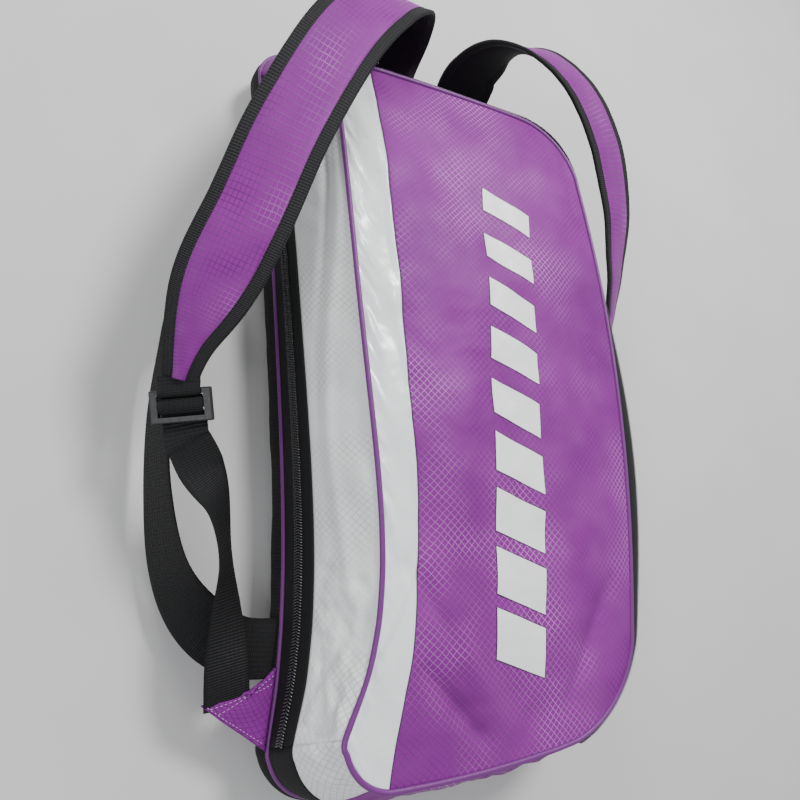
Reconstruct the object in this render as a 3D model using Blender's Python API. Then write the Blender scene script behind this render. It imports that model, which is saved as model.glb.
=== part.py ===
"""Racket tournament bag, lying on its back panel with the front face up.

Frame: metres, +Z up, +Y towards the top end with the shoulder-strap roots, +X across the bag.
The origin is the middle of the underside of the back panel.
"""
import math

import bmesh
import bpy
from mathutils import Matrix, Vector

# Body: plan corners as x, y, radius, in the order bottom left, bottom right, top right, top left.
BACK_LEFT_LOW = -0.195
BACK_LEFT_HIGH = -0.203
BACK_RIGHT = 0.177
BACK_BOTTOM = -0.370
BACK_TOP = 0.372
FACE_LEFT_LOW = BACK_LEFT_LOW + 0.037
FACE_LEFT_HIGH = BACK_LEFT_HIGH + 0.053
FACE_RIGHT = BACK_RIGHT - 0.020
FACE_BOTTOM = BACK_BOTTOM + 0.020
FACE_TOP = BACK_TOP - 0.058
BACK_RADII = (0.045, 0.115, 0.085, 0.034)
FACE_RADII = (0.045, 0.105, 0.080, 0.034)
BACK_BOWS = (0.004, 0.008, 0.002, -0.010)
FACE_BOWS = (0.003, 0.016, 0.002, -0.008)

SEAM_HEIGHT = 0.045
FACE_EDGE_HEIGHT = 0.136
FACE_EDGE_DROP = 0.012
FACE_CREST = 0.150
WALL_BULGE = 0.008
WALL = 0.0024
GAP = 0.0004
SEAM_GAP = 0.0010

BACK_PAD = 0.012
BACK_PAD_TUCK = 0.010
BOARD = 0.002
BOARD_INSET = 0.012
DIVIDER = 0.0016
DIVIDER_RISE = 0.052
DIVIDER_CLEARANCE = 0.0025

PIPING_RADIUS = 0.0025
STRIPE_WIDTH = 0.050
FOLD_GAP = 0.0012
FRONT_ZIP_START_X = -0.085
FRONT_ZIP_END_ANGLE = 20.0
FRONT_ZIP_DEPTH = 0.019
FRONT_TAPE = 0.009
FRONT_ZIP_SEAM = 0.012
MAIN_ZIP_RISE = 0.025
MAIN_TAPE = 0.014
COIL_RADIUS = 0.0022
COIL_SPREAD = 0.0027
TAPE = 0.0012

SLIDER_LENGTH = 0.020
SLIDER_WIDTH = 0.013
SLIDER_HEIGHT = 0.0055
SLIDER_CLEARANCE = 0.0016
PULLER_LENGTH = 0.034
PULLER_WIDTH = 0.009
PULLER_THICKNESS = 0.0022
MAIN_SLIDER_Y = BACK_TOP - 0.110
MAIN_SLIDER_PITCH = 0.030
MAIN_ZIP_SPLIT_Y = MAIN_SLIDER_Y - 0.017
FRONT_SLIDER_PARK = 0.013

STRAP_WIDTH = 0.075
STRAP_TIP_WIDTH = 0.040
STRAP_THICKNESS = 0.008
BINDING_WIDTH = 0.012
BINDING_THICKNESS = 0.0044
WEBBING_WIDTH = 0.038
WEBBING_THICKNESS = 0.0018
HANDLE_WIDTH = 0.050
HANDLE_THICKNESS = 0.0024
LOCK_END_GAP = 0.0078
LOCK_MARGIN = 0.007
LOCK_THICKNESS = 0.0042
LOCK_BAR = 0.005
TAB_THICKNESS = 0.003
LEFT_TAB_HIGH = -0.262
LEFT_TAB_LOW = -0.328
RIGHT_TAB_STEPS = 1.4
PATCH_THICKNESS = 0.0016
PATCH_HEIGHT = 0.022
PATCH_MIDDLE = 0.029
TAPER_START = 0.72

ARC_STEPS = 6
FACE_PARTS = 6           # steps across the face of a flat webbing
SHORT_STEPS = 6
LONG_STEPS = 14
CORNER_START = (
    0,
    ARC_STEPS + SHORT_STEPS,
    2 * ARC_STEPS + SHORT_STEPS + LONG_STEPS,
    3 * ARC_STEPS + 2 * SHORT_STEPS + LONG_STEPS,
)
STATIONS = 4 * ARC_STEPS + 2 * SHORT_STEPS + 2 * LONG_STEPS

PURPLE = ((0.33, 0.07, 0.42), 0.55, 0.0)
WHITE = ((0.80, 0.80, 0.78), 0.5, 0.0)
STRIPE = ((0.62, 0.66, 0.70), 0.35, 0.0)
BLACK_FABRIC = ((0.018, 0.018, 0.020), 0.8, 0.0)
BLACK_WEBBING = ((0.012, 0.012, 0.013), 0.75, 0.0)
BLACK_COIL = ((0.010, 0.010, 0.011), 0.4, 0.0)
BLACK_PLASTIC = ((0.014, 0.014, 0.015), 0.3, 0.0)
DARK_METAL = ((0.05, 0.05, 0.055), 0.25, 1.0)
GREY_LINING = ((0.12, 0.12, 0.13), 0.8, 0.0)
BOARD_GREY = ((0.25, 0.25, 0.26), 0.6, 0.0)


def clear_scene():
    for item in list(bpy.data.objects):
        bpy.data.objects.remove(item, do_unlink=True)


def finish(name, data, look):
    """Link a mesh or curve as a named object with its own Principled material."""
    colour, roughness, metallic = look
    material = bpy.data.materials.new(name)
    material.use_nodes = True
    shader = material.node_tree.nodes["Principled BSDF"]
    shader.inputs["Base Color"].default_value = (*colour, 1.0)
    shader.inputs["Roughness"].default_value = roughness
    shader.inputs["Metallic"].default_value = metallic
    data.materials.append(material)
    item = bpy.data.objects.new(name, data)
    bpy.context.scene.collection.objects.link(item)
    return item


def mesh_from(bm, name):
    bmesh.ops.recalc_face_normals(bm, faces=bm.faces)
    data = bpy.data.meshes.new(name)
    bm.to_mesh(data)
    bm.free()
    return data


# ---- Plan outlines and the wall between them ----

def plan_corners(left_low, left_high, right, bottom, top, radii):
    places = ((left_low, bottom), (right, bottom), (right, top), (left_high, top))
    return [(x, y, radius) for (x, y), radius in zip(places, radii)]


def outline(corners, bows):
    """Closed plan outline, counter-clockwise from the bottom-left corner."""
    arcs = []
    for index, (x, y, radius) in enumerate(corners):
        start = math.pi + index * math.pi / 2
        inward_x = 1 if x < 0 else -1
        inward_y = 1 if y < 0 else -1
        centre = Vector((x + inward_x * radius, y + inward_y * radius))
        arc = []
        for step in range(ARC_STEPS + 1):
            angle = start + step / ARC_STEPS * math.pi / 2
            arc.append(centre + radius * Vector((math.cos(angle), math.sin(angle))))
        arcs.append(arc)
    points = []
    for index, arc in enumerate(arcs):
        points += arc
        tip = arcs[(index + 1) % 4][0]
        steps = SHORT_STEPS if index % 2 == 0 else LONG_STEPS
        along = tip - arc[-1]
        outward = Vector((along.y, -along.x)).normalized()
        for step in range(1, steps):
            part = step / steps
            points.append(arc[-1] + along * part + outward * bows[index] * 4 * part * (1 - part))
    return points


BACK_OUTLINE = outline(
    plan_corners(BACK_LEFT_LOW, BACK_LEFT_HIGH, BACK_RIGHT, BACK_BOTTOM, BACK_TOP, BACK_RADII), BACK_BOWS)
FACE_OUTLINE = outline(
    plan_corners(FACE_LEFT_LOW, FACE_LEFT_HIGH, FACE_RIGHT, FACE_BOTTOM, FACE_TOP, FACE_RADII), FACE_BOWS)


def on_outline(points, u):
    """Point at station u, which may lie between two whole stations."""
    whole = math.floor(u)
    first = points[whole % STATIONS]
    second = points[(whole + 1) % STATIONS]
    return first.lerp(second, u - whole)


def outward(points, u):
    """Direction square to the outline at station u, blended between whole stations."""
    whole = math.floor(u)
    normals = []
    for index in (whole, whole + 1):
        along = points[(index + 1) % STATIONS] - points[(index - 1) % STATIONS]
        normals.append(Vector((along.y, -along.x)).normalized())
    return normals[0].lerp(normals[1], u - whole).normalized()


def face_edge_height(y):
    return FACE_EDGE_HEIGHT - FACE_EDGE_DROP * (y / BACK_TOP) ** 2


def wall_run(u):
    """Straight distance up the wall from the back seam to the face seam."""
    low = on_outline(BACK_OUTLINE, u)
    high = on_outline(FACE_OUTLINE, u)
    return math.hypot((high - low).length, face_edge_height(high.y) - SEAM_HEIGHT)


def wall_point(u, s):
    """Point on the outside of the wall: s is 0 at the back seam and 1 at the face seam."""
    low = on_outline(BACK_OUTLINE, u)
    high = on_outline(FACE_OUTLINE, u)
    plan = low.lerp(high, s) + outward(BACK_OUTLINE, u) * WALL_BULGE * 4 * s * (1 - s)
    height = SEAM_HEIGHT + (face_edge_height(high.y) - SEAM_HEIGHT) * s
    return Vector((plan.x, plan.y, height))


def wall_frame(u, s):
    """Point, direction along the seam, direction up the wall and outward normal."""
    step = 0.02
    along = (wall_point(u + 0.5, s) - wall_point(u - 0.5, s)).normalized()
    up = (wall_point(u, s + step) - wall_point(u, s - step)).normalized()
    normal = along.cross(up).normalized()
    return wall_point(u, s), along, normal.cross(along), normal


def from_back(distance):
    return lambda u: distance / wall_run(u)


def from_face(distance):
    return lambda u: 1 - distance / wall_run(u)


def left_station(y):
    """Station on the straight left side at height y along the bag."""
    start = CORNER_START[3] + ARC_STEPS
    top = BACK_OUTLINE[start].y
    bottom = BACK_OUTLINE[0].y
    return start + (top - y) / (top - bottom) * LONG_STEPS


LEFT_START = CORNER_START[3] + ARC_STEPS
FRONT_ZIP_END = CORNER_START[1] + ARC_STEPS * FRONT_ZIP_END_ANGLE / 90
TOP_START = CORNER_START[2] + ARC_STEPS
TOP_FROM = FACE_OUTLINE[TOP_START].x
TOP_TO = FACE_OUTLINE[CORNER_START[3]].x
FRONT_ZIP_START = TOP_START + (TOP_FROM - FRONT_ZIP_START_X) / (TOP_FROM - TOP_TO) * SHORT_STEPS
FOLD_TOP = on_outline(FACE_OUTLINE, FRONT_ZIP_START)
FOLD_LOW = on_outline(FACE_OUTLINE, FRONT_ZIP_END)


def stops(start, end):
    """Stations from start to end: both ends and every whole station well between them."""
    margin = 0.15
    inside = [u for u in range(math.floor(start), math.ceil(end) + 1) if start + margin < u < end - margin]
    return [start] + inside + [end]


# ---- Makers ----

def sheet(name, look, place, columns, rows, thickness, closed=False, cuts=()):
    """A grid laid on a surface by place(column, row), each 0 to 1, and given a thickness inwards."""
    bm = bmesh.new()
    bmesh.ops.create_grid(bm, x_segments=columns, y_segments=rows, size=0.5)
    for vertex in bm.verts:
        vertex.co = place(vertex.co.x + 0.5, vertex.co.y + 0.5)
    if closed:
        bmesh.ops.remove_doubles(bm, verts=bm.verts, dist=0.00002)
    for point, normal in cuts:
        geometry = bm.verts[:] + bm.edges[:] + bm.faces[:]
        bmesh.ops.bisect_plane(bm, geom=geometry, dist=0.00001, plane_co=point, plane_no=normal,
                               clear_outer=True)
    data = bpy.data.meshes.new(name)
    bm.to_mesh(data)
    bm.free()
    item = finish(name, data, look)
    shell = item.modifiers.new("Thickness", "SOLIDIFY")
    shell.thickness = thickness
    shell.offset = -1
    return item


def band(name, look, start, end, low, high, thickness, rows=2, proud=0.0):
    """A strip of the wall between stations start and end and between two heights on it."""
    stations = stops(start, end)
    columns = len(stations) - 1

    def place(across, up):
        u = stations[round(across * columns)]
        s = low(u) + (high(u) - low(u)) * up
        point, _, _, normal = wall_frame(u, s)
        return point + normal * proud

    return sheet(name, look, place, columns, rows, thickness)


def tube(name, look, points, radius, cyclic=False, sides=2):
    """A round cord along the points, with filled ends."""
    data = bpy.data.curves.new(name, "CURVE")
    data.dimensions = "3D"
    data.bevel_depth = radius
    data.bevel_resolution = sides
    data.use_fill_caps = True
    spline = data.splines.new("POLY")
    spline.points.add(len(points) - 1)
    for knot, point in zip(spline.points, points):
        knot.co = (*point, 1.0)
    spline.use_cyclic_u = cyclic
    return finish(name, data, look)


def seam_points(start, end, height, proud=0.0):
    points = []
    for u in stops(start, end):
        point, _, _, normal = wall_frame(u, height(u))
        points.append(point + normal * proud)
    return points


def loft(name, look, loops):
    """A closed solid through equal loops of points, capped at both ends."""
    bm = bmesh.new()
    rings = []
    for loop in loops:
        corners = [bm.verts.new(point) for point in loop]
        edges = [bm.edges.new((a, b)) for a, b in zip(corners, corners[1:] + corners[:1])]
        rings.append((corners, edges))
    for (_, first), (_, second) in zip(rings, rings[1:]):
        bmesh.ops.bridge_loops(bm, edges=first + second)
    bm.faces.new(rings[0][0])
    bm.faces.new(rings[-1][0])
    return finish(name, mesh_from(bm, name), look)


def smooth_between(values, part):
    """Catmull-Rom value through evenly spaced control values."""
    spot = part * (len(values) - 1)
    index = min(int(spot), len(values) - 2)
    t = spot - index
    before = values[max(index - 1, 0)]
    first = values[index]
    second = values[index + 1]
    after = values[min(index + 2, len(values) - 1)]
    return 0.5 * (2 * first + (second - before) * t
                  + (2 * before - 5 * first + 4 * second - after) * t ** 2
                  + (3 * first - before - 3 * second + after) * t ** 3)


def ribbon_frames(route, count, start=0.0, end=1.0):
    """Frames along a strap: point, direction across it, direction out of its outer face."""
    places = [Vector(place) for place, _ in route]
    faces = [Vector(face) for _, face in route]
    frames = []
    for index in range(count + 1):
        part = start + (end - start) * index / count
        point = smooth_between(places, part)
        ahead = smooth_between(places, min(part + 0.005, 1.0))
        behind = smooth_between(places, max(part - 0.005, 0.0))
        along = (ahead - behind).normalized()
        face = smooth_between(faces, part)
        across = along.cross(face).normalized()
        frames.append((point, across, across.cross(along), part))
    return frames


def strap_solid(name, look, frames, section):
    """Sweep a section, a list of across and out distances for a part of the way, along frames."""
    loops = []
    for point, across, out, part in frames:
        loops.append([point + across * a + out * b for a, b in section(part)])
    return loft(name, look, loops)


def flat_section(width, thickness, centre=0.0):
    half = width / 2
    edge = min(0.002, half / 4)
    return [
        (centre - half, -thickness / 4),
        (centre - half + edge, -thickness / 2),
        (centre + half - edge, -thickness / 2),
        (centre + half, -thickness / 4),
        (centre + half, thickness / 4),
        (centre + half - edge, thickness / 2),
        (centre - half + edge, thickness / 2),
        (centre - half, thickness / 4),
    ]


def plain_section(width, thickness):
    """A rectangle with points along both faces, so that a strip that twists keeps its faces apart."""
    deep = thickness / 2
    steps = [width * (index / FACE_PARTS - 0.5) for index in range(FACE_PARTS + 1)]
    return [(across, -deep) for across in steps] + [(across, deep) for across in reversed(steps)]


def block(name, look, size, frame, bevel):
    """A bevelled block of a given size, set in a frame matrix."""
    bm = bmesh.new()
    bmesh.ops.create_cube(bm, size=1.0, matrix=Matrix.Diagonal((*size, 1.0)))
    bmesh.ops.bevel(bm, geom=bm.edges[:], offset=bevel, segments=2, affect="EDGES", profile=0.5)
    item = finish(name, mesh_from(bm, name), look)
    item.matrix_world = frame
    return item


def frame_matrix(point, x_axis, y_axis, z_axis):
    turn = Matrix((x_axis, y_axis, z_axis)).transposed()
    return Matrix.Translation(point) @ turn.to_4x4()


def stack(name, look, levels):
    """A solid lofted through plan outlines: each level gives an inset and a height."""
    loops = []
    for inset, height in levels:
        loop = []
        for index in range(STATIONS):
            plan = BACK_OUTLINE[index] - outward(BACK_OUTLINE, index) * inset
            loop.append(Vector((plan.x, plan.y, height)))
        loops.append(loop)
    return loft(name, look, loops)


# ---- Bag body ----

def build_back():
    stack("back_panel", BLACK_FABRIC, [
        (BACK_PAD_TUCK, 0.0),
        (BACK_PAD_TUCK / 3, BACK_PAD / 4),
        (GAP, BACK_PAD * 0.7),
        (GAP, BACK_PAD),
    ])
    stack("back_board", BOARD_GREY, [
        (BOARD_INSET, BACK_PAD + GAP),
        (BOARD_INSET, BACK_PAD + GAP + BOARD),
    ])
    low = BACK_PAD + GAP
    high = SEAM_HEIGHT - PIPING_RADIUS - SEAM_GAP

    def place(around, up):
        u = around * STATIONS
        swell = math.sin(math.pi * up) * WALL_BULGE / 2
        plan = on_outline(BACK_OUTLINE, u) + outward(BACK_OUTLINE, u) * swell
        return Vector((plan.x, plan.y, low + (high - low) * up))

    sheet("back_gusset", BLACK_FABRIC, place, STATIONS, 2, WALL, closed=True)
    ring = [wall_point(index, 0) for index in range(STATIONS)]
    tube("back_piping", PURPLE, ring, PIPING_RADIUS, cyclic=True)


def build_divider():
    height = DIVIDER_RISE + SEAM_HEIGHT
    loops = []
    for level in (height - DIVIDER, height):
        loop = []
        for index in range(STATIONS):
            s = (level - SEAM_HEIGHT) / (face_edge_height(FACE_OUTLINE[index].y) - SEAM_HEIGHT)
            point, _, _, _ = wall_frame(index, s)
            plan = outward(BACK_OUTLINE, index) * (WALL * 1.6 + DIVIDER_CLEARANCE)
            loop.append(Vector((point.x - plan.x, point.y - plan.y, level)))
        loops.append(loop)
    loft("divider", GREY_LINING, loops)


def build_gussets():
    seam = from_back(PIPING_RADIUS + SEAM_GAP)
    under_face = from_face(PIPING_RADIUS + SEAM_GAP)
    under_zip = from_face(FRONT_ZIP_DEPTH + COIL_SPREAD + COIL_RADIUS + FRONT_ZIP_SEAM)
    main_top = from_back(MAIN_ZIP_RISE + COIL_SPREAD + COIL_RADIUS + MAIN_TAPE + 2 * SEAM_GAP)
    space = 0.05
    band("right_gusset", PURPLE, FRONT_ZIP_END + space, CORNER_START[2] + ARC_STEPS / 2 - space,
         seam, under_zip, WALL)
    band("top_gusset", PURPLE, CORNER_START[2] + ARC_STEPS / 2 + space, FRONT_ZIP_START - space,
         seam, under_zip, WALL)
    band("top_corner_gusset", PURPLE, FRONT_ZIP_START + space, LEFT_START - space,
         seam, under_face, WALL)
    band("bottom_gusset", PURPLE, space, FRONT_ZIP_END - space, seam, under_face, WALL)
    band("left_gusset", WHITE, LEFT_START + space, STATIONS - space, main_top, under_face, WALL, rows=3)


def build_main_zip():
    start = LEFT_START + 0.02
    end = STATIONS - 0.02
    lower = from_back(MAIN_ZIP_RISE - COIL_SPREAD)
    upper = from_back(MAIN_ZIP_RISE + COIL_SPREAD)
    reach = COIL_SPREAD + COIL_RADIUS + SEAM_GAP
    band("main_zip_lower_tape", BLACK_WEBBING, start, end, from_back(PIPING_RADIUS + SEAM_GAP),
         from_back(MAIN_ZIP_RISE - reach), TAPE)
    split = left_station(MAIN_ZIP_SPLIT_Y)
    space = 0.03
    for part, first, last in (("top", start, split - space), ("upper", split + space, end)):
        band(f"main_zip_{part}_tape", BLACK_WEBBING, first, last, from_back(MAIN_ZIP_RISE + reach),
             from_back(MAIN_ZIP_RISE + reach + MAIN_TAPE), TAPE)
        tube(f"main_zip_{part}_coil", BLACK_COIL, seam_points(first, last, upper), COIL_RADIUS, sides=1)
    tube("main_zip_lower_coil", BLACK_COIL, seam_points(start, end, lower), COIL_RADIUS, sides=1)


def build_front_zip():
    start = FRONT_ZIP_END + 0.06
    end = FRONT_ZIP_START - 0.06
    reach = COIL_SPREAD + COIL_RADIUS + GAP
    inner = from_face(FRONT_ZIP_DEPTH - COIL_SPREAD)
    outer = from_face(FRONT_ZIP_DEPTH + COIL_SPREAD)
    band("front_zip_flap_tape", BLACK_WEBBING, start, end, from_face(FRONT_ZIP_DEPTH - reach),
         from_face(PIPING_RADIUS + SEAM_GAP), TAPE, rows=1)
    band("front_zip_body_tape", BLACK_WEBBING, start, end, from_face(FRONT_ZIP_DEPTH + reach + FRONT_TAPE),
         from_face(FRONT_ZIP_DEPTH + reach), TAPE, rows=1)
    tube("front_zip_flap_coil", BLACK_COIL, seam_points(start, end, inner), COIL_RADIUS, sides=1)
    tube("front_zip_body_coil", BLACK_COIL, seam_points(start, end, outer), COIL_RADIUS, sides=1)


# ---- Front face ----

def face_place(around, radial):
    """Surface of the front face: crowned, and held down at its piped edge."""
    u = around * STATIONS
    edge = on_outline(FACE_OUTLINE, u) - outward(FACE_OUTLINE, u) * (PIPING_RADIUS + SEAM_GAP)
    middle = Vector(((FACE_RIGHT + FACE_LEFT_LOW) / 2, (FACE_TOP + FACE_BOTTOM) / 2))
    plan = middle.lerp(edge, radial)
    height = FACE_CREST + (face_edge_height(edge.y) - FACE_CREST) * radial ** 2
    return Vector((plan.x, plan.y, height))


def build_face():
    fold = (FOLD_LOW - FOLD_TOP).normalized()
    to_flap = Vector((-fold.y, fold.x, 0))
    fold_point = Vector((FOLD_TOP.x, FOLD_TOP.y, 0))
    stripe_x = (FACE_LEFT_LOW + FACE_LEFT_HIGH) / 2 + STRIPE_WIDTH
    half_gap = FOLD_GAP / 2
    stripe_edge = Vector((stripe_x - GAP / 2, 0, 0))
    panel_edge = Vector((stripe_x + GAP / 2, 0, 0))
    right = Vector((1, 0, 0))

    def place(radial, around):
        return face_place(around, radial)

    sheet("front_stripe", STRIPE, place, 5, STATIONS, WALL, closed=True, cuts=[(stripe_edge, right)])
    sheet("front_panel", PURPLE, place, 5, STATIONS, WALL, closed=True,
          cuts=[(panel_edge, -right), (fold_point - to_flap * half_gap, to_flap)])
    sheet("front_flap_panel", PURPLE, place, 5, STATIONS, WALL, closed=True,
          cuts=[(panel_edge, -right), (fold_point + to_flap * half_gap, -to_flap)])
    space = 0.05

    def on_seam(u):
        return 1.0

    tube("front_piping", PURPLE, seam_points(FRONT_ZIP_START + space, FRONT_ZIP_END + STATIONS - space,
         on_seam), PIPING_RADIUS)
    tube("front_flap_piping", PURPLE, seam_points(FRONT_ZIP_END + space, FRONT_ZIP_START - space,
         on_seam), PIPING_RADIUS)


# ---- Zip sliders and pullers ----

def build_slider(name, u, s, toward):
    """A slider over the coils at station u, with its puller trailing in the direction toward."""
    point, along, up, normal = wall_frame(u, s)
    along = along * toward
    up = normal.cross(along)
    lift = COIL_RADIUS + SLIDER_CLEARANCE
    seat = point + normal * (lift + SLIDER_HEIGHT / 2)
    block(name, DARK_METAL, (SLIDER_LENGTH, SLIDER_WIDTH, SLIDER_HEIGHT),
          frame_matrix(seat, along, up, normal), 0.0012)
    pivot = seat + normal * (SLIDER_HEIGHT / 2 + GAP + PULLER_THICKNESS / 2)
    holder = bpy.data.objects.new(name + "_pivot", None)
    bpy.context.scene.collection.objects.link(holder)
    holder.matrix_world = frame_matrix(pivot, along, up, normal)
    puller = block(name.replace("slider", "puller"), BLACK_PLASTIC,
                   (PULLER_LENGTH, PULLER_WIDTH, PULLER_THICKNESS), Matrix.Identity(4), 0.0007)
    puller.parent = holder
    puller.location = (PULLER_LENGTH / 2 - PULLER_THICKNESS / 2, 0, 0)


def build_sliders():
    for name, y, toward in (("main_zip_slider_low", MAIN_SLIDER_Y, 1),
                            ("main_zip_slider_high", MAIN_SLIDER_Y + MAIN_SLIDER_PITCH, -1)):
        u = left_station(y)
        build_slider(name, u, from_back(MAIN_ZIP_RISE)(u), toward)
    step = (TOP_FROM - TOP_TO) / SHORT_STEPS
    u = FRONT_ZIP_START + FRONT_SLIDER_PARK / step
    build_slider("front_zip_slider", u, from_face(FRONT_ZIP_DEPTH)(u), 1)


# ---- Shoulder straps ----

ROUTE_RIGHT = 0.177      # the right side and top end that the routes below are laid out round
ROUTE_TOP = 0.372


def fitted(route):
    """A route carried along with the right side and the top end of the bag."""
    points = []
    for (x, y, z), face in route:
        side = min(1.0, max(0.0, x / ROUTE_RIGHT))
        end = min(1.0, max(0.0, y / ROUTE_TOP))
        points.append(((x + side * (BACK_RIGHT - ROUTE_RIGHT), y + end * (BACK_TOP - ROUTE_TOP), z), face))
    return points


# Each route is the middle of the strap, with the direction that its outer face looks.
LEFT_STRAP = fitted([
    ((-0.0545, 0.388, 0.050), (0, 1, 0)),
    ((-0.056, 0.404, 0.090), (-0.05, 0.96, 0.28)),
    ((-0.074, 0.398, 0.134), (-0.1, 0.75, 0.65)),
    ((-0.112, 0.362, 0.164), (-0.05, 0.35, 0.93)),
    ((-0.158, 0.296, 0.172), (-0.1, 0.05, 1)),
    ((-0.206, 0.198, 0.165), (-0.25, -0.02, 0.97)),
    ((-0.238, 0.112, 0.150), (-0.35, -0.1, 0.93)),
    ((-0.263, 0.050, 0.131), (-0.4, -0.2, 0.9)),
    ((-0.277, 0.010, 0.114), (-0.45, -0.3, 0.85)),
    ((-0.283, -0.022, 0.100), (-0.5, -0.35, 0.8)),
])
RIGHT_STRAP = fitted([
    ((0.0545, 0.388, 0.050), (0, 1, 0)),
    ((0.056, 0.404, 0.085), (0.03, 0.96, 0.28)),
    ((0.075, 0.408, 0.122), (0.1, 0.8, 0.6)),
    ((0.118, 0.398, 0.143), (0.2, 0.5, 0.85)),
    ((0.166, 0.362, 0.146), (0.3, 0.3, 0.9)),
    ((0.206, 0.300, 0.136), (0.4, 0.15, 0.9)),
    ((0.230, 0.225, 0.117), (0.5, 0.05, 0.85)),
    ((0.241, 0.150, 0.092), (0.6, 0.0, 0.8)),
    ((0.243, 0.080, 0.067), (0.6, -0.05, 0.8)),
    ((0.241, 0.020, 0.047), (0.5, -0.1, 0.85)),
])
LEFT_WEBBING = fitted([
    ((-0.277, -0.064, 0.092), (-0.4, -0.2, 0.9)),
    ((-0.262, -0.092, 0.088), (0.1, -0.1, 1)),
    ((-0.246, -0.122, 0.080), (0.7, 0, 0.6)),
    ((-0.238, -0.165, 0.072), (0.9, 0, 0.45)),
    ((-0.236, -0.210, 0.068), (0.6, 0.05, 0.75)),
    ((-0.234, -0.255, 0.062), (0.15, 0.1, 1)),
    ((-0.2305, -0.289, 0.0485), (-0.05, 0.1, 1)),
])
RIGHT_WEBBING = fitted([
    ((0.239, -0.030, 0.033), (0.4, -0.1, 0.9)),
    ((0.238, -0.075, 0.024), (0.25, 0, 1)),
    ((0.235, -0.125, 0.022), (0.1, 0, 1)),
    ((0.228, -0.175, 0.030), (0, 0, 1)),
    ((0.215, -0.215, 0.040), (0, 0, 1)),
])
# The carry handle leaves the back seam, swings out to the left and returns to the same seam.
HANDLE = fitted([
    ((-0.200, -0.246, 0.044), (0, 0, 1)),
    ((-0.224, -0.240, 0.040), (-0.05, 0, 1)),
    ((-0.256, -0.214, 0.040), (-0.4, -0.25, 0.85)),
    ((-0.284, -0.168, 0.042), (-0.85, -0.3, 0.5)),
    ((-0.297, -0.104, 0.044), (-1, -0.1, 0.25)),
    ((-0.299, -0.040, 0.043), (-1, 0.05, 0.2)),
    ((-0.290, 0.020, 0.043), (-0.9, 0.3, 0.35)),
    ((-0.266, 0.070, 0.044), (-0.5, 0.4, 0.75)),
    ((-0.236, 0.098, 0.041), (-0.1, 0.1, 1)),
    ((-0.211, 0.104, 0.044), (0, 0, 1)),
])


def strap_width(part):
    """Full width over the shoulder, easing to a narrow end at the ladder lock."""
    taper = max(0.0, (part - TAPER_START) / (1 - TAPER_START))
    return STRAP_WIDTH + (STRAP_TIP_WIDTH - STRAP_WIDTH) * taper ** 2 * (3 - 2 * taper)


def build_strap(side, route):
    frames = ribbon_frames(route, 30)

    def pad(part):
        width = strap_width(part) - 2 * (BINDING_WIDTH + GAP)
        half = width / 2
        slim = BINDING_THICKNESS / 2
        full = STRAP_THICKNESS / 2
        return [(-half, -slim), (-half * 0.7, -full), (half * 0.7, -full), (half, -slim),
                (half, slim), (half * 0.7, full), (-half * 0.7, full), (-half, slim)]

    def left_binding(part):
        return flat_section(BINDING_WIDTH, BINDING_THICKNESS, -(strap_width(part) - BINDING_WIDTH) / 2)

    def right_binding(part):
        return flat_section(BINDING_WIDTH, BINDING_THICKNESS, (strap_width(part) - BINDING_WIDTH) / 2)

    strap_solid(side + "_shoulder_strap", PURPLE, frames, pad)
    strap_solid(side + "_strap_outer_binding", BLACK_WEBBING, frames,
                left_binding if side == "right" else right_binding)
    strap_solid(side + "_strap_inner_binding", BLACK_WEBBING, frames,
                right_binding if side == "right" else left_binding)


def build_lock(side, strap, webbing):
    """Ladder lock beyond the strap's end, on a short keeper, and the frame where its webbing starts."""
    tip, strap_across, strap_out, _ = ribbon_frames(strap, 1)[-1]
    first = Vector(webbing[0][0])
    along = (first - tip).normalized()
    across = along.cross(strap_out).normalized()
    out = across.cross(along)
    middle = (first + tip) / 2
    width = WEBBING_WIDTH + 2 * LOCK_MARGIN
    length = (first - tip).length - 2 * LOCK_END_GAP
    frame = frame_matrix(middle, along, across, out)
    lock = block(side + "_ladder_lock", BLACK_PLASTIC, (length, width, LOCK_THICKNESS), frame, 0.0012)
    slot = (length - 3 * LOCK_BAR) / 2
    for index, sign in enumerate((-1, 1)):
        bm = bmesh.new()
        size = (slot, WEBBING_WIDTH + 2 * GAP, 4 * LOCK_THICKNESS, 1.0)
        bmesh.ops.create_cube(bm, size=1.0, matrix=Matrix.Diagonal(size))
        name = f"{side}_lock_slot_{index}"
        cutter = bpy.data.objects.new(name, mesh_from(bm, name))
        bpy.context.scene.collection.objects.link(cutter)
        cutter.matrix_world = frame @ Matrix.Translation((sign * (slot + LOCK_BAR) / 2, 0, 0))
        cutter.hide_render = True
        cutter.display_type = "WIRE"
        cut = lock.modifiers.new("Slot", "BOOLEAN")
        cut.operation = "DIFFERENCE"
        cut.solver = "EXACT"
        cut.object = cutter
    strap_along = strap_out.cross(strap_across)
    reach = length / 2 + SEAM_GAP
    near = (tip + strap_along * SEAM_GAP, strap_across, strap_out, 0.0)
    far = (middle - along * reach, across, out, 1.0)
    strap_solid(side + "_lock_keeper", BLACK_WEBBING, [near, far], webbing_section)
    return middle + along * reach, across, out, 0.0


def webbing_section(part):
    return plain_section(WEBBING_WIDTH, WEBBING_THICKNESS)


def build_webbing(side, route, count, start):
    """Adjusting webbing from the ladder lock at start to the corner tab; returns its last frame."""
    frames = [start] + ribbon_frames(route, count)
    strap_solid(side + "_adjust_webbing", BLACK_WEBBING, frames, webbing_section)
    return frames[-1]


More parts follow.
